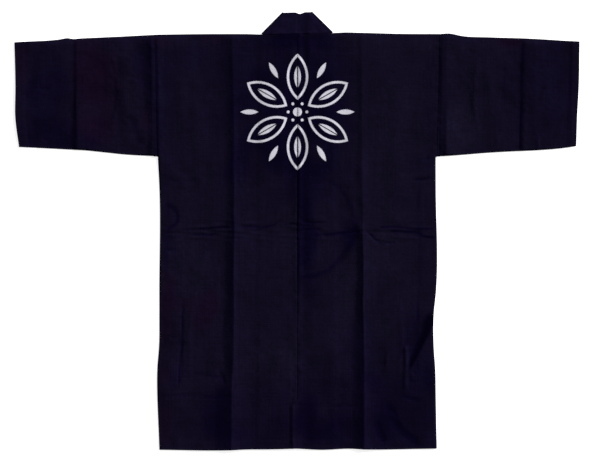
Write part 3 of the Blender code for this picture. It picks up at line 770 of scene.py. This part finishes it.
class Shell:
    """A piece of cloth, made from the middles of its layers."""

    def __init__(self):
        self.layers = []
        self.quads = []
        self.count = 0

    def add(self, points, thickness, cloth, dye):
        """Adds a grid of points as a layer."""
        grid = points.shape[:2]
        size = grid[0] * grid[1]
        layer = Layer(
            points,
            np.broadcast_to(thickness, grid),
            np.broadcast_to(cloth, points.shape),
            np.broadcast_to(dye, points.shape),
            np.arange(self.count, self.count + size).reshape(grid),
        )
        self.layers.append(layer)
        self.count += size
        return layer

    def lay(self, side, spot, middle, thick, face, shift=0):
        """Adds the upper or lower layer, with its middle at these heights."""
        along = spot.y if face == UPPER else CLOTH_TURN - spot.y
        points = together(spot.x, spot.y + shift, middle)
        return self.add(points, thick, together(side * spot.x, along, face), dye_and_shade_of(spot, face))

    def fold(self, upper, lower, facing, dye):
        """Adds rows round a folded edge, between a line of each layer, and gives their numbers."""
        step = np.arange(1, TURN_STEPS)[:, None, None]
        angle = math.pi * step / TURN_STEPS
        points = (upper.points + lower.points) / 2
        points = points + (upper.points - lower.points) / 2 * np.cos(angle)
        points = points + np.array(facing) * TURN * np.sin(angle)
        cloth = upper.cloth + (lower.cloth - upper.cloth) * step / TURN_STEPS
        return self.add(points, upper.thickness, cloth, dye).numbers

    def weave(self, *lines):
        """Quads between neighbours in a grid of numbers, given as lines side by side."""
        numbers = np.column_stack(lines)
        corners = (numbers[:-1, :-1], numbers[:-1, 1:], numbers[1:, 1:], numbers[1:, :-1])
        self.quads.append(together(*corners).reshape(-1, 4))

    def gathered(self, field, size):
        return np.concatenate([getattr(layer, field).reshape(-1, size) for layer in self.layers])

    def build(self, name, material, mirrored):
        points = self.gathered("points", 3)
        quads = np.concatenate(self.quads)
        if mirrored:
            quads = quads[:, ::-1]
        half = self.gathered("thickness", 1) / 2 * normals_of(points, quads)
        a, b = rim_of(quads).T
        rim = np.column_stack([b, a, a + self.count, b + self.count])
        faces = np.concatenate([quads, quads[:, ::-1] + self.count, rim]).tolist()
        piece = new_piece(name, np.concatenate([points + half, points - half]), faces, material)
        for label in ("cloth", "dye"):
            layer = piece.data.attributes.new(label, "FLOAT_VECTOR", "POINT")
            both = np.tile(self.gathered(label, 3), (2, 1)).astype(np.float32)
            layer.data.foreach_set("vector", both.ravel())
        piece.data.set_sharp_from_angle(angle=math.radians(60))
        return piece


def normals_of(points, quads):
    a, b, c, d = (points[quads[:, i]] for i in range(4))
    facing = np.cross(c - a, d - b)
    total = np.zeros(points.shape)
    for i in range(4):
        np.add.at(total, quads[:, i], facing)
    return total / np.linalg.norm(total, axis=1)[:, None]


def rim_of(quads):
    """The edges that only one quad uses, in that quad's direction."""
    edges = np.concatenate([quads[:, [i, (i + 1) % 4]] for i in range(4)])
    _, first, uses = np.unique(np.sort(edges, axis=1), axis=0, return_index=True, return_counts=True)
    return edges[first[uses == 1]]


def place(name, data):
    item = bpy.data.objects.new(name, data)
    bpy.context.collection.objects.link(item)
    return item


def new_piece(name, vertices, faces, material):
    mesh = bpy.data.meshes.new(name)
    mesh.from_pydata((vertices * MM).tolist(), [], faces)
    mesh.materials.append(material)
    mesh.shade_smooth()
    return place(name, mesh)


def spread(runs):
    """Places along runs that are given as from, to, how many."""
    places = [np.linspace(start, end, count, endpoint=False) for start, end, count in runs]
    return np.concatenate([*places, [runs[-1][1]]])


def body_columns(side, y):
    """How far out each column of a panel lies, and which column is at the collar."""
    seam = seam_out(side, y) + GAP / 2
    collar = band_edge(side, y) + GAP
    crest = np.full(y.shape, RIDGE_OUT[side])
    far, near = RIDGE_REACH
    below = cut(SIDE, side, np.minimum(y, UNDERARM_Y)) - TURN - THICK / 2
    edge = np.where(y > ARMHOLE_Y, cut(ARMHOLE, side, y) - GAP / 2, below)
    first, second = SEAM_STRIPS
    breaks = [seam, seam + first, seam + second, collar, crest - far, crest - near]
    breaks += [crest + near, crest + far, edge - SIDE_STRIP, edge]
    columns = []
    for start, end, count in zip(breaks, breaks[1:], BODY_COLUMNS):
        columns.append(start[:, None] + (end - start)[:, None] * np.arange(count) / count)
    return np.hstack([*columns, edge[:, None]]), sum(BODY_COLUMNS[:3])


def body_rows(side, out, base):
    """The height of each point of a panel, whose rows come to follow its hem and its top."""
    y = np.broadcast_to(base[:, None], out.shape).copy()
    y += (cut(HEM, side, out) - base[0]) * ease((base[0] + HEM_BLEND - y) / HEM_BLEND)
    beside_neck = out < side * NECK[side][0] + NECK_MARGIN
    shoulder = cut(SHOULDER, side, out) - TURN - THICK / 2
    top = np.where(beside_neck, neck_line(side * out) - GAP, shoulder)
    return y + (top - base[-1]) * ease((y - base[-1] + TOP_BLEND) / TOP_BLEND)


def body_back(side, out, y):
    """The spots of a panel's back, its thickness and the height of its lower face."""
    spot = body_spot(side, out, y)
    return spot, THICK + hem_extra(spot, HEM_EXTRA), upper_layer(spot, body_support(side, spot))


def body_allowance(shell, side, edge, out, up, top=FAR):
    """Cloth that runs on past a panel's edge, beneath the piece that is sewn there."""
    out, y = np.broadcast_arrays(edge.cloth[..., 0] + out, edge.cloth[..., 1] + up)
    spot = body_spot(side, out, y)._replace(over=np.full(out.shape, FAR))
    low = upper_layer(spot, body_support(side, spot))
    z = np.minimum(low + ALLOWANCE / 2 - CLEAR, top - ALLOWANCE / 2)
    return shell.add(together(spot.x, y, z), ALLOWANCE, together(out, y, UPPER), edge.dye).numbers


def make_body(side, material):
    """Back and front of one side: one length of cloth, folded at the shoulder."""
    base = spread(BODY_ROWS)
    out, collar = body_columns(side, base)
    spot, thick, low = body_back(side, out, body_rows(side, out, base))
    shell = Shell()
    back = shell.lay(side, spot, low + thick / 2, thick, UPPER)
    spot = Spot(*(values[:, collar:] for values in spot))
    thick = thick[:, collar:]
    rise = lower_rise(spot.x, spot.y) * ease(np.minimum(spot.edge, spot.top) / LOWER_FLAT)
    raised_hem = FRONT_HEM_RISE * ease((base[0] + HEM_BLEND - spot.y) / HEM_BLEND)
    front = shell.lay(side, spot, rise + thick / 2, thick, LOWER, raised_hem)
    shell.weave(back.numbers)
    shell.weave(front.numbers[:, ::-1])

    rows = int(np.searchsorted(base, ARMHOLE_Y))
    upper, lower = (part(layer, np.s_[:rows, -1]) for layer in (back, front))
    turn = shell.fold(upper, lower, (side, 0, 0), upper.dye)
    shell.weave(upper.numbers, *turn, lower.numbers)
    upper, lower = part(back, np.s_[-1, collar:]), part(front, -1)
    turn = shell.fold(upper, lower, (0, 1, 0), lower.dye)
    shell.weave(np.column_stack([upper.numbers, *turn, lower.numbers])[::-1])

    reach = ALLOWANCE_REACH
    if side == LEFT:
        seam = part(back, np.s_[:, :1])
        up = np.zeros(seam.numbers.shape)
        up[-1] = SEAM_OVERRUN
        line = body_allowance(shell, side, seam, -reach[::-1], up)
        shell.weave(line, seam.numbers)
    armhole = part(back, np.s_[rows:, -1:])
    shell.weave(armhole.numbers, body_allowance(shell, side, armhole, reach, 0))
    neck = part(back, np.s_[-1:, :collar])
    line = body_allowance(shell, side, neck, 0, reach[:, None], NECK_TOP)
    shell.weave(np.vstack([neck.numbers, line]))
    armhole = part(front, np.s_[rows:, -1:])
    points = armhole.points + np.array([side, 0, 0]) * reach[:, None]
    points[..., 2] = THICK + CLEAR + ALLOWANCE / 2
    line = shell.add(points, ALLOWANCE, armhole.cloth, armhole.dye).numbers
    shell.weave(line[:, ::-1], armhole.numbers)
    return shell.build(f"coat_body_{HAND[side]}", material, side == LEFT)


def sleeve_out(side, share, y):
    start = cut(ARMHOLE, side, y) + GAP / 2
    return start + share * (cut(CUFF, side, y) - start)


def sleeve_layers(side, share, y):
    """The spots of a sleeve, its thickness, its lower layer's rise and its upper's lower face."""
    out = sleeve_out(side, share, y)
    below = y - curve(SLEEVE[side], share, 2)
    above = curve(SLEEVE[side], share, 1) - y
    over = out - cut(ARMHOLE, side, y)
    seam = np.minimum(over, np.abs(below))
    spot = Spot(side * out, y, below, above, cut(CUFF, side, y) - out, seam, over)
    thick = THICK + hem_extra(spot, CUFF_EXTRA)
    rise = lower_rise(spot.x, y) * ease(np.minimum(below, above) / LOWER_FLAT)
    return spot, thick, rise, upper_layer(spot, rise + thick)


def make_sleeve(side, material):
    """A tube pressed flat: folded along its top, sewn along its underside."""
    share, span = np.meshgrid(spread(SLEEVE_COLUMNS), spread(SLEEVE_ROWS), indexing="ij")
    bottom = curve(SLEEVE[side], share, 2) + TURN + THICK / 2
    top = curve(SLEEVE[side], share, 1) - TURN - THICK / 2
    spot, thick, rise, low = sleeve_layers(side, share, bottom + span * (top - bottom))
    shell = Shell()
    upper = shell.lay(side, spot, low + thick / 2, thick, UPPER)
    lower = shell.lay(side, spot, rise + thick / 2, thick, LOWER)
    turns = []
    for facing, column in ((1, -1), (-1, 0)):
        line, other = (part(layer, np.s_[:, column]) for layer in (upper, lower))
        turns.append(shell.fold(line, other, (0, facing, 0), line.dye))
    over_top, under = turns
    shell.weave(
        upper.numbers, *over_top, lower.numbers[:, ::-1], *under[::-1], upper.numbers[:, 0]
    )
    return shell.build(f"coat_sleeve_{HAND[side]}", material, side == RIGHT)


def unit(x, y):
    return np.array([x, y]) / math.hypot(x, y)


def front_direction(side):
    """The way the band runs down the front."""
    x, y = NECK[side]
    return unit(side * BAND_HEM_OUT - x, BAND_HEM_Y - y)


def collar_fold(side):
    """The line that the band folds about: its two ends, and the way the fold faces."""
    (x0, y0), (x1, y1) = NECK[LEFT], NECK[RIGHT]
    across = unit(side * (x1 - x0), side * (y1 - y0))
    line = unit(*(-across - front_direction(side)))
    length = BAND_WIDTH / abs(line[0] * across[1] - line[1] * across[0])
    start = np.array(NECK[side])
    return start, start + line * length, np.array([side * line[1], -side * line[0]])


def band_section(start, end, angle, facing, shares):
    """Points across the band: angle is 0 above the fold and pi below it."""
    radius = (BAND_THICK + BAND_GAP) / 2
    flat = start + shares[:, None] * (end - start) + facing * radius * math.sin(angle)
    height = BAND_THICK / 2 + radius + radius * math.cos(angle)
    return np.column_stack([flat, np.full(len(shares), height)])


def band_front(side, shares):
    """The band's sections round its fold and down one front."""
    start, end, facing = collar_fold(side)
    down = front_direction(side)
    sections = [
        band_section(start, end, math.pi * k / COLLAR_FOLD_STEPS, facing, shares)
        for k in range(COLLAR_FOLD_STEPS + 1)
    ]
    lengths = [(BAND_HEM_Y - foot[1]) / down[1] for foot in (start, end)]
    count = round(max(lengths) / COLLAR_FRONT_STEP)
    for k in range(1, count + 1):
        feet = [foot + down * length * k / count for foot, length in zip((start, end), lengths)]
        sections.append(band_section(*feet, math.pi, facing, shares))
    return sections


def make_collar(material, thread):
    """One doubled band: up the left front, behind the neck and down the right front."""
    shares = spread(COLLAR_COLUMNS)
    left, right = (band_front(side, shares) for side in HAND)
    (left_start, left_end, _), (right_start, right_end, _) = (collar_fold(side) for side in HAND)
    count = round((right_start[0] - left_start[0]) / COLLAR_STEP)
    neck = []
    for share in np.arange(1, count) / count:
        sewn = left_start + share * (right_start - left_start)
        free = left_end + share * (right_end - left_end)
        free[1] -= NOTCH_DEPTH * ease(1 - abs(free[0] - NOTCH_X) / NOTCH_HALF_WIDTH)
        neck.append(band_section(sewn, free, 0.0, np.zeros(2), shares))
    points = np.stack([*reversed(left), *neck, *right])
    return collar_shell(points, shares, len(left), material, thread)


# The collar's own cloth
BAND_BASE = 0.4  # where its smooth parts lie
BAND_FLAT = 5  # how near to its free edge the relief fades
BAND_PUCKERS = 1.3  # times those elsewhere
BAND_WELT = 0.25  # along its sewn edge
BAND_WELT_WIDTH = 2.5
BAND_SETTLING = 6  # how many sections from a fold its relief is full
BAND_ROUNDING = 1.1  # how far in the free edge is rounded
BAND_THINNEST = 0.12  # the square of the share of the thickness that is left there
BAND_DEEP = 0.25  # its own depth of dye
BAND_RED = 0.4  # of the redness elsewhere


def collar_shell(points, shares, side_sections, material, thread):
    """The band's cloth over these points, and its stitches."""
    x, y, z = np.moveaxis(points, -1, 0).copy()
    behind_neck = slice(side_sections, len(points) - side_sections)
    to_free = np.broadcast_to((1 - shares) * BAND_WIDTH, x.shape)
    to_sewn = np.broadcast_to(shares * BAND_WIDTH, x.shape)
    far = np.full(x.shape, FAR)
    spot = Spot(x, y, to_free, far, far, to_sewn, far)
    relief = creases_relief(BAND_CREASES, x, y, seed=500) + ripple(BAND_BUMPS, x, y, seed=510)
    relief = relief * ease(to_free / BAND_FLAT) + BAND_PUCKERS * pucker(spot, seed=520) + BAND_BASE
    relief += BAND_WELT * (1 - ease((to_sewn - BAND_WELT_WIDTH) / WELT_SLOPE))
    count = behind_neck.stop - side_sections
    from_folds = np.minimum(np.arange(count), np.arange(count)[::-1])
    z[behind_neck] += np.maximum(relief[behind_neck], 0) * ease(from_folds / BAND_SETTLING)[:, None]
    z += np.where(z < BAND_THICK, lower_rise(x, y), 0)
    along = distance_along(np.column_stack([x[:, 0], y[:, 0]]))[:, None]
    rounded = 1 - (1 - np.clip(to_free / BAND_ROUNDING, 0, 1)) ** 2
    thick = BAND_THICK * np.sqrt(np.clip(rounded, BAND_THINNEST, 1))
    dye = dye_and_shade_of(spot, LOWER)
    dye[..., 0] = BAND_DEEP
    dye[..., 1] *= BAND_RED
    shell = Shell()
    shell.weave(shell.add(together(x, y, z), thick, together(to_sewn, along, UPPER), dye).numbers)
    line = (values[behind_neck, STITCHED_COLUMN] for values in (x, y, z))
    return shell.build("coat_collar", material, True), collar_stitches(*line, thread)


# Sewing
STITCH_LENGTH = 2.0
STITCH_RADIUS = 0.32
STITCH_TAPER = 0.8  # how much of its radius squared is gone at its ends
STITCH_DIP = 0.3  # how far its ends go down into the cloth
STITCH_RINGS = 5
STITCH_SIDES = 6
STITCH_SPACING = 13.0
STITCH_STRAY = 1.5  # along the row
STITCH_INSET = 2.0  # from a hem's inner edge
HEM_STITCHES_Y = -470.0
HEM_STITCHES_START = 9.0  # from the centre seam
HEM_STITCHES_END = 304.0
CUFF_STITCHES = (200.0, 418.0)  # from and to this height
COLLAR_STITCH_SPACING = 7.0
COLLAR_STITCH_START = 6.0  # from each neck point
STITCHED_COLUMN = 4  # of the collar's columns, 2 mm from its sewn edge


def scattered(low, high, seed):
    """Places at about the stitch spacing, a little uneven as by hand."""
    places = np.arange(low, high, STITCH_SPACING)
    return places + np.random.default_rng(seed).uniform(-STITCH_STRAY, STITCH_STRAY, len(places))


def make_stitches(name, places, heading, material):
    """Short threads, half sunk in the cloth at these places, as one mesh."""
    t = np.linspace(-1, 1, STITCH_RINGS)[:, None, None]
    angle = np.linspace(0, 2 * math.pi, STITCH_SIDES, endpoint=False)[:, None]
    up = np.array([0.0, 0.0, 1.0])
    across = np.cross(up, heading)
    radius = STITCH_RADIUS * np.sqrt(1 - STITCH_TAPER * t**2)
    one = np.array(heading) * t * STITCH_LENGTH / 2 - up * STITCH_DIP * t**2
    one = one + radius * (across * np.cos(angle) + up * np.sin(angle))
    vertices = (places[:, None, None, :] + one).reshape(-1, 3)
    last = STITCH_SIDES * (STITCH_RINGS - 1)
    faces = []
    for start in range(0, len(vertices), last + STITCH_SIDES):
        for ring in range(start, start + last, STITCH_SIDES):
            for k in range(STITCH_SIDES):
                a, b = ring + k, ring + (k + 1) % STITCH_SIDES
                faces.append((a, b, b + STITCH_SIDES, a + STITCH_SIDES))
        cap = range(start, start + STITCH_SIDES)
        faces += [cap[::-1], [start + last + k for k in range(STITCH_SIDES)]]
    return new_piece(name, vertices, faces, material)


def hem_stitches(side, material):
    start = seam_out(side, HEM_STITCHES_Y) + HEM_STITCHES_START
    out = scattered(start, HEM_STITCHES_END, 5 + side)
    y = cut(HEM, side, out) + HEM_DEPTH - STITCH_INSET
    spot, thick, low = body_back(side, out, y)
    places = together(spot.x, y, low + thick)
    return make_stitches(f"coat_hem_stitches_{HAND[side]}", places, (1, 0, 0), material)


def cuff_stitches(side, material):
    y = scattered(*CUFF_STITCHES, 15 + side)
    start = sleeve_out(side, 0, y)
    cuff = cut(CUFF, side, y)
    share = (cuff - HEM_DEPTH + STITCH_INSET - start) / (cuff - start)
    spot, thick, _, low = sleeve_layers(side, share, y)
    places = together(spot.x, y, low + thick)
    return make_stitches(f"coat_cuff_stitches_{HAND[side]}", places, (0, 1, 0), material)


def collar_stitches(x, y, z, material):
    """Along the band's sewn edge, behind the neck."""
    start, end = x[0] + COLLAR_STITCH_START, x[-1] - COLLAR_STITCH_START
    at = np.arange(start, end, COLLAR_STITCH_SPACING)
    places = together(at, np.interp(at, x, y), np.interp(at, x, z) + BAND_THICK / 2)
    return make_stitches("coat_collar_stitches", places, (1, 0, 0), material)


# Colours, linear
INDIGO = (0.0049, 0.0034, 0.0122, 1)
# The deep indigo is also the colour of the painted shade in creases and on folds.
DEEP_INDIGO_AND_SHADE = (0.0019, 0.0008, 0.0090, 1)
RED_INDIGO = (0.0060, 0.0019, 0.0098, 1)
WORN_INDIGO = (0.0105, 0.0085, 0.0225, 1)
COLLAR_INDIGO = (0.0062, 0.0042, 0.0165, 1)
UNDYED = (0.600, 0.590, 0.660)
SHEEN = (0.30, 0.26, 0.55, 1)
THREAD = (0.0120, 0.0095, 0.0250, 1)
FLOOR = (0.80, 0.80, 0.80, 1)
FLOOR_GLOW = 0.8
FLOOR_REACH = 15000.0
WHITE = (1, 1, 1, 1)
THREAD_PITCH = 0.62  # the weave
LAYER_SHIFT = 371.0  # between the two layers' noise
# Noise in the dye and the yarn: its size across and along the warp, its detail, its
# roughness, and how much it brightens and darkens.
NOISES = {
    "cloudy": (70.0, 90.0, 3.0, 0.5, 0.30),
    "blotch": (26.0, 22.0, 2.0, 0.5, 0.22),
    "mottle": (9.0, 11.0, 4.0, 0.6, 0.27),
    "warp": (2.3, 90.0, 2.0, 0.5, 0.31),
    "weft": (75.0, 2.3, 2.0, 0.5, 0.29),
    "speck": (2.6, 2.6, 3.0, 0.5, 0.14),
    "crinkle": (8.0, 7.0, 3.0, 0.5, 0.0),
}
DARKEST = 0.25
# How much the mottling changes a value, and the value.
RED_AMOUNT = (0.5, 0.75)
WORN_AMOUNT = (0.8, 0.8)
ROUGHNESS = (0.05, 0.9)
UNDYED_DIRT = (0.07, 0.97)  # by the mottling, the specks and the warp
CRINKLE_HEIGHT = 0.22
WEAVE_HEIGHT = 0.06

# The resist-dyed flower on the back: six outlined leaves, six drops and a small centre.
# Leaves, their hearts and the drops are given as middle, half length and half width.
FLOWER_CENTRE = (1.4, 268.2)
LEAF = (79.0, 52.0, 24.0)
LEAF_LINE = 5.2
HEART = (79.0, 25.0, 7.5)
MIDRIB = 1.2
DROP = (108.0, 20.0, 5.6)
CENTRE_RADIUS = 10.0
DOT_MIDDLE = 21.0
DOT_RADIUS = 3.2
EDGE_BLUR = 1.3
EDGE_WANDER = 0.7


class Wire:
    """What a node gives, which can be calculated with."""

    def __init__(self, graph, socket):
        self.graph = graph
        self.socket = socket

    def __add__(self, other):
        return self.graph.math("ADD", self, other)

    def __sub__(self, other):
        return self.graph.math("SUBTRACT", self, other)

    def __rsub__(self, other):
        return self.graph.math("SUBTRACT", other, self)

    def __mul__(self, other):
        return self.graph.math("MULTIPLY", self, other)

    def scaled(self, factor, offset, clamp=False):
        return self.graph.math("MULTIPLY_ADD", self, factor, offset, clamp=clamp)


class Graph:
    """A material, and short ways to add nodes to it."""

    def __init__(self, name):
        self.material = bpy.data.materials.new(name)
        self.material.use_nodes = True
        self.tree = self.material.node_tree
        self.shader = self.tree.nodes["Principled BSDF"]

    def put(self, socket, value):
        if isinstance(value, Wire):
            self.tree.links.new(value.socket, socket)
        else:
            socket.default_value = value

    def add(self, kind, *values, **settings):
        """A node with these values at its first inputs."""
        node = self.tree.nodes.new(kind)
        for name, value in settings.items():
            setattr(node, name, value)
        for socket, value in zip(node.inputs, values):
            self.put(socket, value)
        return node

    def wire(self, node, output=0):
        return Wire(self, node.outputs[output])

    def math(self, operation, *values, clamp=False):
        return self.wire(self.add("ShaderNodeMath", *values, operation=operation, use_clamp=clamp))

    def split(self, vector):
        node = self.add("ShaderNodeSeparateXYZ", vector)
        return [self.wire(node, i) for i in range(3)]

    def combine(self, *values):
        return self.wire(self.add("ShaderNodeCombineXYZ", *values))

    def attribute(self, name):
        return self.wire(self.add("ShaderNodeAttribute", attribute_name=name), "Vector")

    def noise(self, vector, detail, roughness=0.5):
        """Noise from about -1 to 1."""
        node = self.add("ShaderNodeTexNoise", vector)
        for name, value in (("Scale", 1.0), ("Detail", detail), ("Roughness", roughness)):
            node.inputs[name].default_value = value
        return self.wire(node).scaled(2.0, -1.0)

    def blend(self, share, first, second):
        node = self.add("ShaderNodeMix", share, data_type="RGBA")
        self.put(node.inputs[6], first)
        self.put(node.inputs[7], second)
        return self.wire(node, 2)

    def shade(self, colour, factor):
        """A colour times a number."""
        node = self.add("ShaderNodeVectorMath", colour, operation="SCALE")
        self.put(node.inputs["Scale"], factor)
        return self.wire(node)

    def bump(self, height, distance, below=None):
        node = self.add("ShaderNodeBump")
        self.put(node.inputs["Height"], height)
        node.inputs["Distance"].default_value = distance * MM
        if below:
            self.put(node.inputs["Normal"], below)
        return self.wire(node)

    def finish(self, **inputs):
        """Sets the shader's inputs, whose names are given with _ for a space."""
        for name, value in inputs.items():
            self.put(self.shader.inputs[name.replace("_", " ")], value)
        return self.material


def covered(distance):
    """1 where a distance is below 0, with a soft edge."""
    return distance.scaled(-1 / EDGE_BLUR, 0.5, clamp=True)


def length_of(x, y):
    return x.graph.math("SQRT", x * x + y * y)


def lens(along, across, middle, half_length, half_width):
    """The distance outside a pointed leaf that lies along an axis."""
    radius = (half_length**2 + half_width**2) / (2 * half_width)
    return length_of(along - middle, across + (radius - half_width)) - radius


def flower(graph):
    """Where the cloth stayed undyed: a flower worked out from its radius and angle."""
    x, y, _ = graph.split(graph.wire(graph.add("ShaderNodeTexCoord"), "Object"))
    x = x.scaled(1 / MM, -FLOWER_CENTRE[0])
    y = y.scaled(1 / MM, -FLOWER_CENTRE[1])
    radius = length_of(x, y)
    sector = math.pi / 6
    # The angle from the nearest leaf's axis. An odd count of sectors turns a leaf upwards.
    turn = graph.math("PINGPONG", graph.math("ARCTAN2", y, x) + 13 * sector, sector)
    uneven = graph.noise(graph.combine(x, y, 0.0), detail=3.0) * EDGE_WANDER

    along = radius * graph.math("COSINE", turn)
    across = radius * graph.math("SINE", turn)
    leaf = lens(along, across, *LEAF) + uneven
    outline = covered(leaf) * (1.0 - covered(leaf + LEAF_LINE))
    heart = covered(lens(along, across, *HEART) + uneven) * covered(MIDRIB - across + uneven)

    turn = sector - turn
    along = radius * graph.math("COSINE", turn)
    across = radius * graph.math("SINE", turn)
    drop = lens(along, across, *DROP) + uneven
    dot = length_of(along - DOT_MIDDLE, across) + uneven - DOT_RADIUS
    centre = radius + uneven - CENTRE_RADIUS
    undyed = graph.math("MAXIMUM", outline, heart)
    for distance in (drop, dot, centre):
        undyed = graph.math("MAXIMUM", undyed, covered(distance))
    return undyed


def cotton(name, base, with_flower):
    """Old indigo cotton in plain weave, with streaks of yarn, mottled dye and wear, and painted
    shade in its creases and on the shaded side of its folds.
    """
    graph = Graph(name)
    u, v, layer = graph.split(graph.attribute("cloth"))
    deep_and_shade, red, worn = graph.split(graph.attribute("dye"))
    shift = layer * LAYER_SHIFT
    brightness = 1.0
    noises = {}
    for kind, (across, along, detail, roughness, strength) in NOISES.items():
        vector = graph.combine(u * (1 / across), v * (1 / along), shift)
        noises[kind] = graph.noise(vector, detail, roughness)
        if strength:
            brightness = noises[kind] * strength + brightness
    mottle, warp, weft = noises["mottle"], noises["warp"], noises["weft"]

    # Deeper dye, and painted shade in the creases and on the folds' shaded sides.
    colour = graph.blend(deep_and_shade, base, DEEP_INDIGO_AND_SHADE)
    colour = graph.blend(red * mottle.scaled(*RED_AMOUNT), colour, RED_INDIGO)
    rubbed = graph.math("MINIMUM", worn * mottle.scaled(*WORN_AMOUNT), 1.0)
    colour = graph.blend(rubbed, colour, WORN_INDIGO)
    colour = graph.shade(colour, graph.math("MAXIMUM", brightness, DARKEST))
    if with_flower:
        undyed = flower(graph) * graph.math("LESS_THAN", layer, 0.5)
        dirt = (mottle + noises["speck"] + warp).scaled(*UNDYED_DIRT)
        colour = graph.blend(undyed, colour, graph.shade(UNDYED, dirt))

    # Plain weave: crowns of warp and weft in turn.
    turn = math.pi / THREAD_PITCH
    crowns = graph.math("SINE", u * turn) * graph.math("SINE", v * turn)
    threads = crowns * 0.5 + (warp * 0.5 + weft * 0.5)
    crinkled = graph.bump(noises["crinkle"], CRINKLE_HEIGHT)
    return graph.finish(
        Base_Color=colour,
        Normal=graph.bump(threads, WEAVE_HEIGHT, crinkled),
        Roughness=mottle.scaled(*ROUGHNESS),
        Specular_IOR_Level=0.012,
        Sheen_Weight=0.006,
        Sheen_Roughness=0.5,
        Sheen_Tint=SHEEN,
    )


def plain(name, colour, **inputs):
    return Graph(name).finish(Base_Color=colour, Roughness=0.9, Specular_IOR_Level=0.05, **inputs)


def make_floor():
    paint = plain("pale_floor", FLOOR, Emission_Color=WHITE, Emission_Strength=FLOOR_GLOW)
    corners = np.array([(-1, -1, 0), (1, -1, 0), (1, 1, 0), (-1, 1, 0)]) * FLOOR_REACH
    corners[:, 2] = -CLEAR  # just under the cloth, so that no two faces coincide
    floor = new_piece("floor", corners, [(0, 1, 2, 3)], paint)
    return floor


# The photograph's frame: 1350 mm across 600 pixels, a little off the coat's middle.
VIEW_WIDTH = 1350.0
VIEW_CENTRE = (7.0, -7.4)
LENS = 120.0
SENSOR = 36.0
KEY_ELEVATION = 21.0
KEY_AZIMUTH = 36.0
KEY_SHARE = 0.85
KEY_SPREAD = 22.0


def make_camera():
    camera = bpy.data.cameras.new("camera")
    camera.lens = LENS
    camera.sensor_width = SENSOR
    camera.clip_start = 0.1
    camera.clip_end = 60.0
    item = place("camera", camera)
    item.location = (VIEW_CENTRE[0] * MM, VIEW_CENTRE[1] * MM, VIEW_WIDTH * MM * LENS / SENSOR)
    bpy.context.scene.camera = item


def make_light():
    """A large soft light from the right, low over the cloth, and a dim even fill."""
    sun = bpy.data.lights.new("key", "SUN")
    sun.angle = math.radians(KEY_SPREAD)
    sun.energy = math.pi * KEY_SHARE / math.sin(math.radians(KEY_ELEVATION))
    tilt = math.radians(90 - KEY_ELEVATION)
    place("key", sun).rotation_euler = (0, tilt, math.radians(KEY_AZIMUTH))
    world = bpy.data.worlds.new("studio")
    world.use_nodes = True
    background = world.node_tree.nodes["Background"]
    background.inputs["Color"].default_value = WHITE
    background.inputs["Strength"].default_value = 1 - KEY_SHARE
    bpy.context.scene.world = world


make_camera()
make_light()
bpy.context.scene.view_settings.view_transform = "Standard"
floor = make_floor()

body_cotton = cotton("indigo_cotton_with_flower", INDIGO, True)
sleeve_cotton = cotton("indigo_cotton", INDIGO, False)
band_cotton = cotton("collar_cotton", COLLAR_INDIGO, False)
thread = plain("sewing_thread", THREAD)
pieces = {f"body_{word}": make_body(side, body_cotton) for side, word in HAND.items()}
for side, word in HAND.items():
    pieces[f"sleeve_{word}"] = make_sleeve(side, sleeve_cotton)
pieces["collar"], collar_thread = make_collar(band_cotton, thread)
sewing = {f"body_{word}": hem_stitches(side, thread) for side, word in HAND.items()}
for side, word in HAND.items():
    sewing[f"sleeve_{word}"] = cuff_stitches(side, thread)
sewing["collar"] = collar_thread
# The width and length of the cut that shows, and its area, in metres.
CUTS = {
    "body": ((0.317, 1.87), 0.51),
    "sleeve": ((0.320, 0.55), 0.161),
    "collar": ((0.0474, 2.06), None),
}
for node, piece in pieces.items():
    size, area = CUTS[node.split("_")[0]]
    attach(piece, "root")
    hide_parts(node)
    "collar_cotton" if node == "collar" else "indigo_cotton"
    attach(sewing[node], "root")
